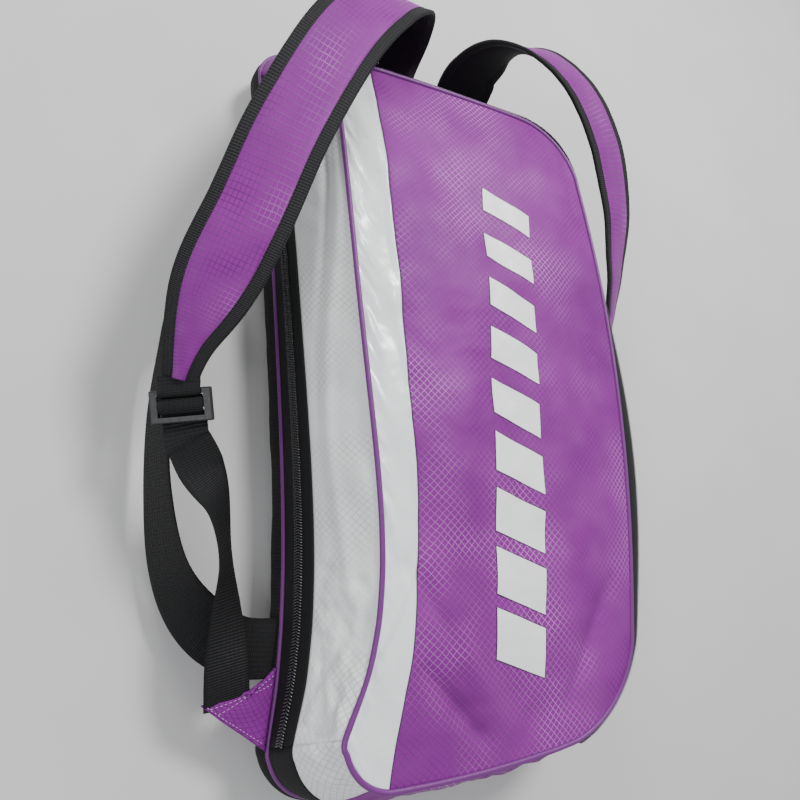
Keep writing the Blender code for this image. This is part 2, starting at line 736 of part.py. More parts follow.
def build_tab(side, low, high, end):
    """Tab sewn in the back seam from station low to high, reaching the end of the adjusting webbing."""
    outside = PIPING_RADIUS + SEAM_GAP
    point, across, out, _ = end
    along = out.cross(across)
    corners = []
    for u in (low, high):
        plan = on_outline(BACK_OUTLINE, u) + outward(BACK_OUTLINE, u) * outside
        corners.append(Vector((plan.x, plan.y, SEAM_HEIGHT)))
    edge = [point + along * SEAM_GAP + across * sign * WEBBING_WIDTH / 2 for sign in (-1, 1)]
    edge.sort(key=lambda corner: (corner - corners[1]).length)
    corners += edge
    loops = []
    for drop in (-TAB_THICKNESS / 2, TAB_THICKNESS / 2):
        loops.append([corner + out * drop for corner in corners])
    loft(side + "_corner_tab", PURPLE, loops)


def build_handle():
    frames = ribbon_frames(HANDLE, 54)
    strap_solid("carry_handle", BLACK_WEBBING, frames,
                lambda part: plain_section(HANDLE_WIDTH, HANDLE_THICKNESS))


def build_yoke():
    """Sewn patches on the top end that take the strap roots."""
    for side, x in (("left", LEFT_STRAP[0][0][0]), ("right", RIGHT_STRAP[0][0][0])):
        front = BACK_TOP + WALL_BULGE + 2 * PATCH_THICKNESS
        size = (STRAP_WIDTH, PATCH_THICKNESS, PATCH_HEIGHT)
        place = Vector((x, front, PATCH_MIDDLE))
        block(side + "_strap_anchor", BLACK_WEBBING, size, Matrix.Translation(place), 0.0004)


def build():
    clear_scene()
    build_back()
    build_divider()
    build_gussets()
    build_main_zip()
    build_front_zip()
    build_face()
    build_sliders()
    build_strap("left", LEFT_STRAP)
    build_strap("right", RIGHT_STRAP)
    left_start = build_lock("left", LEFT_STRAP, LEFT_WEBBING)
    right_start = build_lock("right", RIGHT_STRAP, RIGHT_WEBBING)
    left_end = build_webbing("left", LEFT_WEBBING, 40, left_start)
    right_end = build_webbing("right", RIGHT_WEBBING, 16, right_start)
    right_corner = CORNER_START[1] + ARC_STEPS
    build_tab("left", left_station(LEFT_TAB_LOW), left_station(LEFT_TAB_HIGH), left_end)
    build_tab("right", right_corner, right_corner + RIGHT_TAB_STEPS, right_end)
    build_handle()
    build_yoke()


build()
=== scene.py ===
import math

import bmesh
import bpy
from mathutils import Matrix, Vector, noise


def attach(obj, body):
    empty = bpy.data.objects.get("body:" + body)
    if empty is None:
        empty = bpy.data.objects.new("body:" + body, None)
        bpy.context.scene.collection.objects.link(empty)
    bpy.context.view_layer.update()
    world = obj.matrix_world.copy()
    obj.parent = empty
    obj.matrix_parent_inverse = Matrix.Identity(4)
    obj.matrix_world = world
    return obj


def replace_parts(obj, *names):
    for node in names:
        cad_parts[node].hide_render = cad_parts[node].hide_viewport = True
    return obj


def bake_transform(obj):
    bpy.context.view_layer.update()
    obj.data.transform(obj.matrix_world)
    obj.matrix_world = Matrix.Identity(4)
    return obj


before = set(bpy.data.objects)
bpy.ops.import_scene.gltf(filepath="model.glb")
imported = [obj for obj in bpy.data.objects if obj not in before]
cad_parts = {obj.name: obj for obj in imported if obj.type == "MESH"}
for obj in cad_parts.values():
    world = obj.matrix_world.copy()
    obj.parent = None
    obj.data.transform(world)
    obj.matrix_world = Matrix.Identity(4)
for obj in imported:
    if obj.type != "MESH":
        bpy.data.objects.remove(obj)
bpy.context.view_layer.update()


# Shader maths: a Wire is a socket that adds its own Math nodes when it is used in a sum.
class Wire:
    def __init__(self, finish, socket):
        self.finish = finish
        self.socket = socket

    def maths(self, operation, first, second=None):
        values = {0: first} if second is None else {0: first, 1: second}
        return self.finish.make("ShaderNodeMath", {"operation": operation}, values)

    def __add__(self, other):
        return self.maths("ADD", self, other)

    def __radd__(self, other):
        return self.maths("ADD", other, self)

    def __sub__(self, other):
        return self.maths("SUBTRACT", self, other)

    def __rsub__(self, other):
        return self.maths("SUBTRACT", other, self)

    def __mul__(self, other):
        return self.maths("MULTIPLY", self, other)

    def __rmul__(self, other):
        return self.maths("MULTIPLY", other, self)

    def __truediv__(self, other):
        return self.maths("DIVIDE", self, other)

    def __rtruediv__(self, other):
        return self.maths("DIVIDE", other, self)

    def part(self):
        return self.maths("FRACT", self)

    def size(self):
        return self.maths("ABSOLUTE", self)

    def most(self, other):
        return self.maths("MAXIMUM", self, other)


class Finish:
    def __init__(self, name):
        self.material = bpy.data.materials.new(name)
        self.material.use_nodes = True
        self.tree = self.material.node_tree
        self.shader = self.tree.nodes["Principled BSDF"]

    def make(self, kind, settings=None, values=None, output=0):
        node = self.tree.nodes.new(kind)
        for key, value in (settings or {}).items():
            setattr(node, key, value)
        for key, value in (values or {}).items():
            self.feed(node.inputs[key], value)
        return Wire(self, node.outputs[output])

    def feed(self, socket, value):
        if isinstance(value, Wire):
            self.tree.links.new(value.socket, socket)
        elif isinstance(value, (tuple, list)) and len(value) == 3 and socket.type == "RGBA":
            socket.default_value = (*value, 1.0)
        else:
            socket.default_value = value

    def set(self, **values):
        names = {key.replace("_", " ").title().replace("Ior", "IOR"): value for key, value in values.items()}
        for key, value in names.items():
            self.feed(self.shader.inputs[key], value)

    def place(self, source="UV"):
        wire = self.make("ShaderNodeTexCoord", output=source)
        axes = self.make("ShaderNodeSeparateXYZ", values={0: wire}).socket.node.outputs
        return wire, [Wire(self, axis) for axis in axes]

    def cloud(self, where, scale, detail=3.0, roughness=0.55):
        values = {"Vector": where, "Scale": scale, "Detail": detail, "Roughness": roughness}
        return self.make("ShaderNodeTexNoise", {}, values, "Fac")

    def ease(self, wire, low, high, outLow=0.0, outHigh=1.0):
        return self.make("ShaderNodeMapRange", {"interpolation_type": "SMOOTHSTEP"},
                         {0: wire, 1: low, 2: high, 3: outLow, 4: outHigh})

    def mix(self, amount, first, second):
        # a colour mix takes its factor at 0, its colours at 6 and 7, and gives its result at 2
        return self.make("ShaderNodeMix", {"data_type": "RGBA"}, {0: amount, 6: first, 7: second}, 2)

    def bump(self, height, distance, strength=1.0, under=None):
        values = {"Height": height, "Distance": distance, "Strength": strength}
        if under is not None:
            values["Normal"] = under
        return self.make("ShaderNodeBump", {}, values)


# Fabrics and finishes, in metres and linear colour
fabric = {
    "cell": 0.0050,          # distance between the ripstop's raised threads
    "jog": 0.22,             # how far each thread steps aside at a crossing, in cells
    "wander": 0.5,           # how far the lattice drifts from straight, in cells
    "threadEdges": (0.80, 0.95),
    "threadHeight": 0.00030,
    "weaveGrain": 2400.0,
    "purple": (0.270, 0.029, 0.292),
    # the two thread colours after purple are painted light: a painted highlight where light catches the raised
    # threads, then painted shade on them
    "purpleLine": (0.66, 0.27, 0.70),
    "purpleDim": (0.115, 0.011, 0.138),
    "purpleDeep": (0.195, 0.020, 0.220),
    "white": (0.90, 0.90, 0.89),
    # the two thread colours after white are painted light: a painted highlight where light catches the raised
    # threads, then painted shade on them
    "whiteLine": (0.99, 0.99, 0.98),
    "whiteDim": (0.60, 0.60, 0.60),
    "whiteDeep": (0.82, 0.83, 0.83),
    "stripe": (0.88, 0.95, 0.94),
    "black": (0.0055, 0.0055, 0.006),
    "thread": (0.50, 0.27, 0.56),
}


# A ripstop whose raised threads carry painted light: line is their painted highlight colour, dim their painted shade
# colour, and glint sets where the painted highlight patches lie.
def ripstop(name, source, base, line, dim, deep, roughness=0.50, glint=(0.50, 0.66), square=False,
            tint=(0.72, 0.38, 0.80)):
    look = Finish(name)
    where, (x, y, _) = look.place(source)
    cell = fabric["cell"]
    if square:
        first, second = x / cell, y / cell
    else:
        first, second = (x + y) / (cell * math.sqrt(2)), (x - y) / (cell * math.sqrt(2))
    jog = ((first * 2.0).part() - 0.5).size() * fabric["jog"]
    wander = look.cloud(where, 40.0, 1.0) * fabric["wander"]
    lines = None
    for axis in (first + wander, second + jog + wander):
        ridge = (axis.part() - 0.5).size() * 2.0
        ridge = look.ease(ridge, *fabric["threadEdges"])
        lines = ridge if lines is None else lines.most(ridge)
    # shine: patches of painted highlight on the threads; elsewhere the threads take the painted shade colour
    shine = look.ease(look.cloud(where, 10.0, 2.0), *glint)
    faint = look.ease(look.cloud(where, 21.0, 2.0), 0.28, 0.56, 0.50, 0.95)
    ground = look.mix(look.ease(look.cloud(where, 7.0, 3.0), 0.25, 0.75), deep, base)
    # the threads' colour is painted light, painted highlight where shine is high and painted shade elsewhere, laid
    # over the ground tone
    look.set(base_color=look.mix(lines * faint, ground, look.mix(shine, dim, line)))
    weave = look.cloud(where, fabric["weaveGrain"], 1.0)
    look.set(roughness=look.ease(weave - lines * shine * 0.5, 0.1, 0.8, roughness - 0.14, roughness + 0.12))
    fine = look.bump(weave, 0.0002, 0.30)
    look.set(normal=look.bump(lines, fabric["threadHeight"], 0.7, fine))
    look.set(specular_ior_level=0.34, specular_tint=tint)
    return look.material


# light: the lighter colour painted on the raised ribs, a painted highlight on their crests
def ribbed(name, pitch, across=True, light=(0.020, 0.020, 0.021), depth=0.0005, roughness=0.62):
    look = Finish(name)
    where, (x, y, _) = look.place("UV")
    axis = y if across else x
    rib = ((axis / pitch).part() - 0.5).size() * 2.0
    cross = ((x if across else y) / (pitch * 0.55)).part()
    cross = (cross - 0.5).size() * 2.0
    height = look.ease(rib, 0.1, 0.95) * 0.75 + look.ease(cross, 0.1, 0.9) * 0.25
    fuzz = look.cloud(where, 900.0, 2.0)
    # the raised ribs take the lighter colour: painted highlight on the rib crests
    look.set(base_color=look.mix(height * fuzz, fabric["black"], light))
    look.set(roughness=look.ease(fuzz, 0.3, 0.7, roughness - 0.08, roughness + 0.16))
    look.set(normal=look.bump(height + fuzz * 0.3, depth, 0.85))
    look.set(specular_ior_level=0.26)
    return look.material


def satin(name, base, roughness, coat=0.0, grain=140.0, depth=0.0002, metallic=0.0, spread=0.10):
    look = Finish(name)
    where, _ = look.place("Object")
    tone = look.cloud(where, grain, 3.0)
    worn = look.cloud(where, grain * 0.18, 2.0)
    light = tuple(min(1.0, channel * 1.18 + 0.004) for channel in base)
    look.set(base_color=look.mix(worn, base, light))
    look.set(roughness=look.ease(tone, 0.3, 0.7, roughness - spread / 2, roughness + spread))
    look.set(normal=look.bump(tone, depth, 0.5))
    look.set(metallic=metallic)
    if coat:
        look.set(coat_weight=coat, coat_roughness=0.18)
    return look.material


# each list holds the base colour, the painted highlight on the threads, the painted shade on the threads, and the
# deeper ground tone
purples, whites = ([fabric[colour + tone] for tone in ("", "Line", "Dim", "Deep")]
                   for colour in ("purple", "white"))
plainTint = (1.0, 1.0, 1.0)
purpleFace = ripstop("purpleFace", "Object", *purples, glint=(0.28, 0.78))
purpleWall = ripstop("purpleWall", "UV", *purples)
purpleStrap = ripstop("purpleStrap", "UV", *purples, square=True, glint=(0.34, 0.90))
whiteWall = ripstop("whiteWall", "UV", *whites, roughness=0.38, glint=(0.42, 0.60), tint=plainTint)
stripeCoat = satin("stripeCoat", fabric["stripe"], 0.26, coat=0.5, grain=60.0, depth=0.0003)
pipingCloth = satin("pipingCloth", (0.150, 0.020, 0.180), 0.45, grain=900.0, depth=0.0003)
motifInk = satin("motifInk", (0.93, 0.93, 0.93), 0.38, grain=300.0, depth=0.0001)
motifEdge = satin("motifEdge", (0.055, 0.02, 0.075), 0.5, grain=300.0, depth=0.0001)
# in these the ribs' light colour is painted highlight on their crests
tapeCloth = ribbed("tapeCloth", 0.0011, depth=0.0002, roughness=0.7)
bindingCloth = ribbed("bindingCloth", 0.0020, depth=0.0008, light=(0.040, 0.040, 0.042))
webCloth = ribbed("webCloth", 0.0022, depth=0.0006, roughness=0.6)
backCloth = ribbed("backCloth", 0.0026, across=False, depth=0.0004, roughness=0.75)
# the lining's second and third colours are painted highlight and painted shade on its threads
lining = ripstop("lining", "Object", (0.035, 0.035, 0.038), (0.07, 0.07, 0.075), (0.02, 0.02, 0.022),
                 (0.022, 0.022, 0.024), square=True, roughness=0.6, tint=plainTint)
coilNylon = satin("coilNylon", (0.030, 0.030, 0.032), 0.22, coat=0.8, grain=400.0, depth=0.0001)
buckle = satin("buckle", (0.012, 0.012, 0.013), 0.30, grain=500.0, depth=0.0001)
sliderPaint = satin("sliderPaint", (0.018, 0.018, 0.020), 0.22, coat=0.4, grain=300.0, depth=0.0001, metallic=0.7)
sliderChrome = satin("sliderChrome", (0.62, 0.62, 0.64), 0.16, grain=400.0, depth=0.0001, metallic=1.0)
threadLook = satin("threadLook", fabric["thread"], 0.5, grain=900.0, depth=0.0002)
darkThread = satin("darkThread", (0.02, 0.02, 0.022), 0.6, grain=900.0, depth=0.0002)
patchCloth = satin("patchCloth", (0.008, 0.008, 0.009), 0.7, grain=900.0, depth=0.0004)
boardLook = satin("boardLook", (0.25, 0.25, 0.26), 0.6, grain=200.0, depth=0.0002)
print("finishes made")


# Mesh makers. hint: the way an open sheet's face should point.
def keep(name, bm, looks, hint=None):
    if hint is not None:
        total = Vector()
        for face in bm.faces:
            total += face.normal * face.calc_area()
        if total.dot(hint) < 0:
            bmesh.ops.reverse_faces(bm, faces=bm.faces)
    data = bpy.data.meshes.new(name)
    bm.to_mesh(data)
    bm.free()
    for look in looks:
        data.materials.append(look)
    data.polygons.foreach_set("use_smooth", [True] * len(data.polygons))
    item = bpy.data.objects.new(name, data)
    bpy.context.scene.collection.objects.link(item)
    return item


upwards = Vector((0, 0, 1))
weldReach = 0.00001


def layGrid(columns, rows, place, spans=(1.0, 1.0), closed=False):
    bm = bmesh.new()
    uv = bm.loops.layers.uv.new("UVMap")
    bmesh.ops.create_grid(bm, x_segments=columns, y_segments=rows, size=0.5)
    for face in bm.faces:
        for loop in face.loops:
            loop[uv].uv = ((loop.vert.co.x + 0.5) * spans[0], (loop.vert.co.y + 0.5) * spans[1])
    for vertex in bm.verts:
        vertex.co = place(vertex.co.x + 0.5, vertex.co.y + 0.5)
    if closed:
        bmesh.ops.remove_doubles(bm, verts=bm.verts, dist=weldReach)
    bm.normal_update()
    return bm


def shell(item, thickness, offset=-1.0, inner=1):
    solid = item.modifiers.new("Wall", "SOLIDIFY")
    solid.thickness = thickness
    solid.offset = offset
    solid.material_offset = inner
    solid.material_offset_rim = 0


def openEdges(bm):
    return [edge for edge in bm.edges if edge.is_boundary]


def sweep(name, looks, frames, section, spans, capped=True, underLook=None):
    count = len(section(0.0))
    loops = []
    for point, across, out, part in frames:
        loops.append([point + across * a + out * b for a, b in section(part)])

    def place(around, along):
        spot = along * (len(loops) - 1)
        ring = loops[min(round(spot), len(loops) - 1)]
        return ring[round(around * count) % count]

    bm = layGrid(count, len(loops) - 1, place, spans, closed=True)
    if capped:
        bmesh.ops.holes_fill(bm, edges=openEdges(bm), sides=0)
    bmesh.ops.recalc_face_normals(bm, faces=bm.faces)
    if underLook is not None:
        for face in bm.faces:
            centre = face.calc_center_median()
            nearest = min(frames, key=lambda row: (row[0] - centre).length_squared)
            if face.normal.dot(nearest[2]) < -0.3:       # the side that faces down gets the second look
                face.material_index = underLook
    return keep(name, bm, looks)


def curve(before, first, second, after, t):        # a smooth curve from first to second
    return 0.5 * (2 * first + (second - before) * t
                  + (2 * before - 5 * first + 4 * second - after) * t ** 2
                  + (3 * first - before - 3 * second + after) * t ** 3)


def smoothBetween(values, part):
    last = len(values) - 1
    spot = part * last
    index = min(int(spot), last - 1)
    before, after = values[max(index - 1, 0)], values[min(index + 2, last)]
    return curve(before, values[index], values[index + 1], after, spot - index)


def ribbonFrames(route, count):
    places = [Vector(place) for place, _ in route]
    faces = [Vector(face) for _, face in route]
    frames = []
    for index in range(count + 1):
        part = index / count
        point = smoothBetween(places, part)
        along = (smoothBetween(places, min(part + 0.005, 1.0))
                 - smoothBetween(places, max(part - 0.005, 0.0))).normalized()
        across = along.cross(smoothBetween(faces, part)).normalized()
        frames.append((point, across, across.cross(along), part))
    return frames


def routeLength(frames):
    return sum((b[0] - a[0]).length for a, b in zip(frames, frames[1:]))


def pipe(name, look, points, radius, sides=10, cyclic=False):
    count = len(points)
    axes = []
    for index in range(count):
        ahead = points[(index + 1) % count] if cyclic else points[min(index + 1, count - 1)]
        behind = points[index - 1] if cyclic else points[max(index - 1, 0)]
        axes.append((ahead - behind).normalized())
    frames = []
    for point, axis in zip(points, axes):
        across = axis.cross(upwards).normalized()
        frames.append((point, across, across.cross(axis), 0.0))
    if cyclic:
        frames.append(frames[0])
    angles = [2 * math.pi * k / sides for k in range(sides)]
    circle = [(radius * math.cos(angle), radius * math.sin(angle)) for angle in angles]
    length = sum((b - a).length for a, b in zip(points, points[1:]))
    return sweep(name, [look], frames, lambda part: circle, (2 * math.pi * radius, length), capped=not cyclic)


# The bag's outlines. Each corner is x, y and radius; a bow is how far each side swells.
body = {
    "backCorners": ((-0.195, -0.370, 0.045), (0.177, -0.370, 0.115),
                    (0.177, 0.372, 0.085), (-0.203, 0.372, 0.034)),
    "faceCorners": ((-0.158, -0.350, 0.045), (0.157, -0.350, 0.105),
                    (0.157, 0.314, 0.080), (-0.150, 0.314, 0.034)),
    "backBows": (0.004, 0.008, 0.002, -0.010),
    "faceBows": (0.003, 0.016, 0.002, -0.008),
    "backSag": 0.008,        # how far the soft left side sinks in low down
    "faceSag": 0.024,
    "splay": 0.025,          # how far the zip on the right stands out from under the face
    "sideSplay": (22.5, 6.5),        # the station it is greatest at, and over how many it fades
    "cornerSplay": (34.5, 2.6),
    "seamHeight": 0.045,
    "edgeHeight": 0.136,
    "edgeDrop": 0.012,
    "crest": 0.150,
    "bulge": 0.008,
    "top": 0.372,
}
arcSteps, shortSteps, longSteps = 6, 6, 14
stations = 4 * arcSteps + 2 * shortSteps + 2 * longSteps
cornerStart = (0, arcSteps + shortSteps, 2 * arcSteps + shortSteps + longSteps,
               3 * arcSteps + 2 * shortSteps + longSteps)


def outline(corners, bows, sag):
    arcs = []
    for index, (x, y, radius) in enumerate(corners):
        centre = Vector((x + math.copysign(radius, -x), y + math.copysign(radius, -y)))
        start = math.pi + index * math.pi / 2
        angles = [start + step / arcSteps * math.pi / 2 for step in range(arcSteps + 1)]
        arcs.append([centre + radius * Vector((math.cos(a), math.sin(a))) for a in angles])
    points = []
    deepest = 0.8 ** 4 * (1 - 0.8)       # the most that part ** 4 * (1 - part) reaches
    for index, arc in enumerate(arcs):
        points += arc
        steps = shortSteps if index % 2 == 0 else longSteps
        along = arcs[(index + 1) % 4][0] - arc[-1]
        side = Vector((along.y, -along.x)).normalized()
        for step in range(1, steps):
            part = step / steps
            bow = bows[index] * 4 * part * (1 - part)
            if index == 3:
                bow -= sag * (part ** 4 * (1 - part) / deepest + part * (1 - part))
            points.append(arc[-1] + along * part + side * bow)
    return points


backLine = outline(body["backCorners"], body["backBows"], body["backSag"])
faceLine = outline(body["faceCorners"], body["faceBows"], body["faceSag"])


def onLine(points, u):
    whole = math.floor(u)
    before, first, second, after = (points[(whole + k) % stations] for k in (-1, 0, 1, 2))
    t = u - whole
    return first.lerp(second, t).lerp(curve(before, first, second, after, t), 0.8)


def outward(points, u):
    whole = math.floor(u)
    normals = []
    for index in (whole, whole + 1):
        along = points[(index + 1) % stations] - points[(index - 1) % stations]
        normals.append(Vector((along.y, -along.x)).normalized())
    return normals[0].lerp(normals[1], u - whole).normalized()


def edgeHeight(y):
    return body["edgeHeight"] - body["edgeDrop"] * (y / body["top"]) ** 2


def splay(u):
    side, corner = (math.exp(-((u - middle) / reach) ** 2)
                    for middle, reach in (body["sideSplay"], body["cornerSplay"]))
    return body["splay"] * (side + 0.4 * corner)


splayPeak = 0.1055           # the most that s ** 3 * (1 - s) reaches


def wallPoint(u, s):         # u: stations round the bag; s: from the back seam, 0, to the face's, 1
    low = onLine(backLine, u)
    high = onLine(faceLine, u)
    push = body["bulge"] * 4 * s * (1 - s) + splay(u) * s ** 3 * (1 - s) / splayPeak
    plan = low.lerp(high, s) + outward(backLine, u) * push
    return Vector((plan.x, plan.y, body["seamHeight"] + (edgeHeight(high.y) - body["seamHeight"]) * s))


def wallFrame(u, s):
    along = (wallPoint(u + 0.5, s) - wallPoint(u - 0.5, s)).normalized()
    up = (wallPoint(u, s + 0.02) - wallPoint(u, s - 0.02)).normalized()
    normal = along.cross(up).normalized()
    return wallPoint(u, s), along, normal.cross(along), normal


def wallRun(u):
    low = onLine(backLine, u)
    high = onLine(faceLine, u)
    return math.hypot((high - low).length, edgeHeight(high.y) - body["seamHeight"])


def fromBack(distance):
    return lambda u: distance / wallRun(u)


def fromFace(distance):
    return lambda u: 1 - distance / wallRun(u)


def leftStation(y):
    start = cornerStart[3] + arcSteps
    top = backLine[start].y
    return start + (top - y) / (top - backLine[0].y) * longSteps


def runLength(start, end, steps=60):        # halfway up the wall
    points = [wallPoint(start + (end - start) * k / steps, 0.5) for k in range(steps + 1)]
    return sum((b - a).length for a, b in zip(points, points[1:]))


leftStart = cornerStart[3] + arcSteps
fold = {
    "zipEnd": 20 / 90,       # how far round the lower right corner the front zip ends
    "zipStart": -0.085,      # x on the top side where it starts
    "reach": 0.016,          # the cloth bends over this far on each side of the fold
}
zipEnd = cornerStart[1] + arcSteps * fold["zipEnd"]
topStart = cornerStart[2] + arcSteps
topFrom, topTo = faceLine[topStart].x, faceLine[cornerStart[3]].x
zipStart = topStart + (topFrom - fold["zipStart"]) / (topFrom - topTo) * shortSteps
foldTop = onLine(faceLine, zipStart)
foldLow = onLine(faceLine, zipEnd)
foldAlong = (foldLow - foldTop).normalized()


def foldBlend(item):
    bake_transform(item)


# Folds and puckers that soft walls carry
def rumple(point, scale, seed):
    where = Vector((point.x * scale + seed, point.y * scale - seed, point.z * scale))
    return noise.fractal(where, 1.0, 2.0, 3)


def crease(point, start, end, width):
    line = end - start
    part = max(0.0, min(1.0, (point - start).dot(line) / line.length_squared))
    away = (point - (start + line * part)).length
    return math.exp(-(away / width) ** 2) * math.sin(math.pi * min(1.0, part * 0.86 + 0.07)) ** 0.5


# The face's outline as a radius for each angle, so that a point's place between middle and rim is known
polar = {"middle": Vector((-0.0005, -0.018)), "count": 720}
polar["radii"] = [0.0] * polar["count"]
previous = None
for k in range(stations * 24 + 1):
    spoke = onLine(faceLine, k / 24) - polar["middle"]
    slot = math.atan2(spoke.y, spoke.x) / (2 * math.pi) * polar["count"]
    if previous is not None:
        first, last = sorted((previous[0], slot))
        if last - first < polar["count"] / 2:
            for index in range(math.ceil(first), math.floor(last) + 1):
                polar["radii"][index % polar["count"]] = spoke.length
    previous = (slot, spoke.length)
for index in range(polar["count"]):
    if polar["radii"][index] == 0.0:
        polar["radii"][index] = polar["radii"][index - 1]


def radial(x, y):
    spoke = Vector((x, y)) - polar["middle"]
    slot = math.atan2(spoke.y, spoke.x) / (2 * math.pi) * polar["count"]
    index = math.floor(slot)
    first = polar["radii"][index % polar["count"]]
    second = polar["radii"][(index + 1) % polar["count"]]
    return min(1.0, spoke.length / (first + (second - first) * (slot - index)))


panel = {
    "broadDent": (10.0, 0.0033),         # how close together the dents are, and how deep
    "fineDent": (42.0, 0.00072),
    "creaseDepth": 1.6,
    "rim": 0.10,             # nothing dents nearer the seam than this share of the way in
    "creases": (             # start, end, width and height of each long fold
        ((-0.088, -0.265), (-0.030, -0.332), 0.0075, -0.0042),
        ((-0.070, -0.230), (-0.010, -0.320), 0.0120, 0.0030),
        ((0.060, -0.318), (0.128, -0.210), 0.0100, -0.0034),
        ((-0.075, 0.255), (0.010, 0.130), 0.0240, -0.0038),
        ((-0.060, 0.060), (0.020, -0.040), 0.0300, -0.0022),
        ((-0.100, -0.180), (-0.060, -0.250), 0.0080, -0.0026),
        ((0.110, 0.100), (0.150, -0.060), 0.0120, -0.0018),
    ),
    # where the stripe's right edge runs, from the top down
    "stripeKnots": (-0.1115, -0.1040, -0.0985, -0.0935, -0.0905, -0.1010, -0.1215),
}


def faceTop(x, y):
    r = radial(x, y)
    base = edgeHeight(y) + (body["crest"] - edgeHeight(y)) * (1 - r ** 2)
    point = Vector((x, y))
    hold = min(1.0, (1 - r) / panel["rim"])
    (broad, broadDepth), (fine, fineDepth) = panel["broadDent"], panel["fineDent"]
    soft = rumple(Vector((x, y, 0.0)), broad, 3.1) * broadDepth
    soft += rumple(Vector((x * 0.7, y, 0.3)), fine, 7.7) * fineDepth
    for start, end, width, depth in panel["creases"]:
        soft += crease(point, Vector(start), Vector(end), width) * depth * panel["creaseDepth"]
    return base + soft * hold


def stripeX(y):
    part = (body["faceCorners"][2][1] - y) / (body["faceCorners"][2][1] - body["faceCorners"][0][1])
    return smoothBetween(panel["stripeKnots"], max(0.0, min(1.0, part)))


def stationAt(test, low, high):             # where test crosses nought
    for _ in range(40):
        middle = (low + high) / 2
        if (test(low) > 0) == (test(middle) > 0):
            low = middle
        else:
            high = middle
    return (low + high) / 2


def facePlan(u, inset=0.0008):
    return onLine(faceLine, u) - outward(faceLine, u) * inset


def faceRun(start, end):
    return lambda part: facePlan(start + (end - start) * part)


def coons(bottom, top, left, right):        # a sheet stretched between four edges
    corners = (bottom(0), bottom(1), top(0), top(1))

    def place(s, t):
        plan = bottom(s) * (1 - t) + top(s) * t + left(t) * (1 - s) + right(t) * s
        plan = plan - (corners[0] * (1 - s) * (1 - t) + corners[1] * s * (1 - t)
                       + corners[2] * (1 - s) * t + corners[3] * s * t)
        return Vector((plan.x, plan.y, faceTop(plan.x, plan.y)))

    return place




def pastStripe(u):
    return facePlan(u).x - stripeX(facePlan(u).y)


stripeTopU = stationAt(pastStripe, topStart - 1, stations - 13)
stripeLowU = stationAt(pastStripe, 3, cornerStart[1])
stripeHigh, stripeLow = facePlan(stripeTopU), facePlan(stripeLowU)


def stripeEdge(t):
    y = stripeLow.y + (stripeHigh.y - stripeLow.y) * t
    return Vector((stripeX(y), y))


# the middles of the face's four corners
topMid = cornerStart[2] + arcSteps * 0.5
lowMid = cornerStart[1] + arcSteps * 0.5
leftHighMid = cornerStart[3] + arcSteps * 0.5
leftLowMid = arcSteps * 0.5
clothThickness = 0.0016
frontPanel = keep("frontPanelCloth", layGrid(110, 230, coons(
    faceRun(stripeLowU, lowMid), faceRun(stripeTopU, topMid), stripeEdge,
    faceRun(lowMid, topMid))), [purpleFace, lining], upwards)
shell(frontPanel, clothThickness)
foldBlend(frontPanel)
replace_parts(frontPanel, "front_panel", "front_flap_panel")


pucker = {"pleat": 0.0034, "broad": 0.0034, "fade": 0.30}        # heights, and how far the pleats reach across


def puckered(place):
    def lay(s, t):
        point = place(s, t)
        edge = math.exp(-(s / pucker["fade"]) ** 2) * min(1.0, s / 0.04)
        pleat = noise.noise(Vector((point.x * 25, point.y * 62 + point.x * 120, 1.7)))
        pleat += 0.8 * abs(noise.noise(Vector((point.x * 60, point.y * 140 + point.x * 220, 8.2))))
        broad = noise.noise(Vector((point.x * 16, point.y * 22 + point.x * 30, 4.4)))
        hold = min(1.0, 8 * min(s, 1 - s)) * min(1.0, 20 * min(t, 1 - t))
        return point + Vector((0, 0, (pleat * pucker["pleat"] * edge + broad * pucker["broad"]) * hold))

    return lay


stripe = keep("stripeCloth", layGrid(40, 330, puckered(coons(
    faceRun(leftLowMid, stripeLowU), faceRun(leftHighMid, stripeTopU),
    faceRun(stations + leftLowMid, leftHighMid), stripeEdge))), [stripeCoat, lining], upwards)
shell(stripe, clothThickness)
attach(stripe, "bag_body")
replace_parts(stripe, "front_stripe")
boundary = []
seamSteps = 160
for step in range(seamSteps):
    plan = stripeEdge((step + 0.5) / seamSteps)
    boundary.append(Vector((plan.x, plan.y, faceTop(plan.x, plan.y) + 0.0001)))
seamThread = pipe("stripeSeamThread", motifEdge, boundary, 0.0005, sides=6)
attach(seamThread, "bag_body")
print("front face laid")


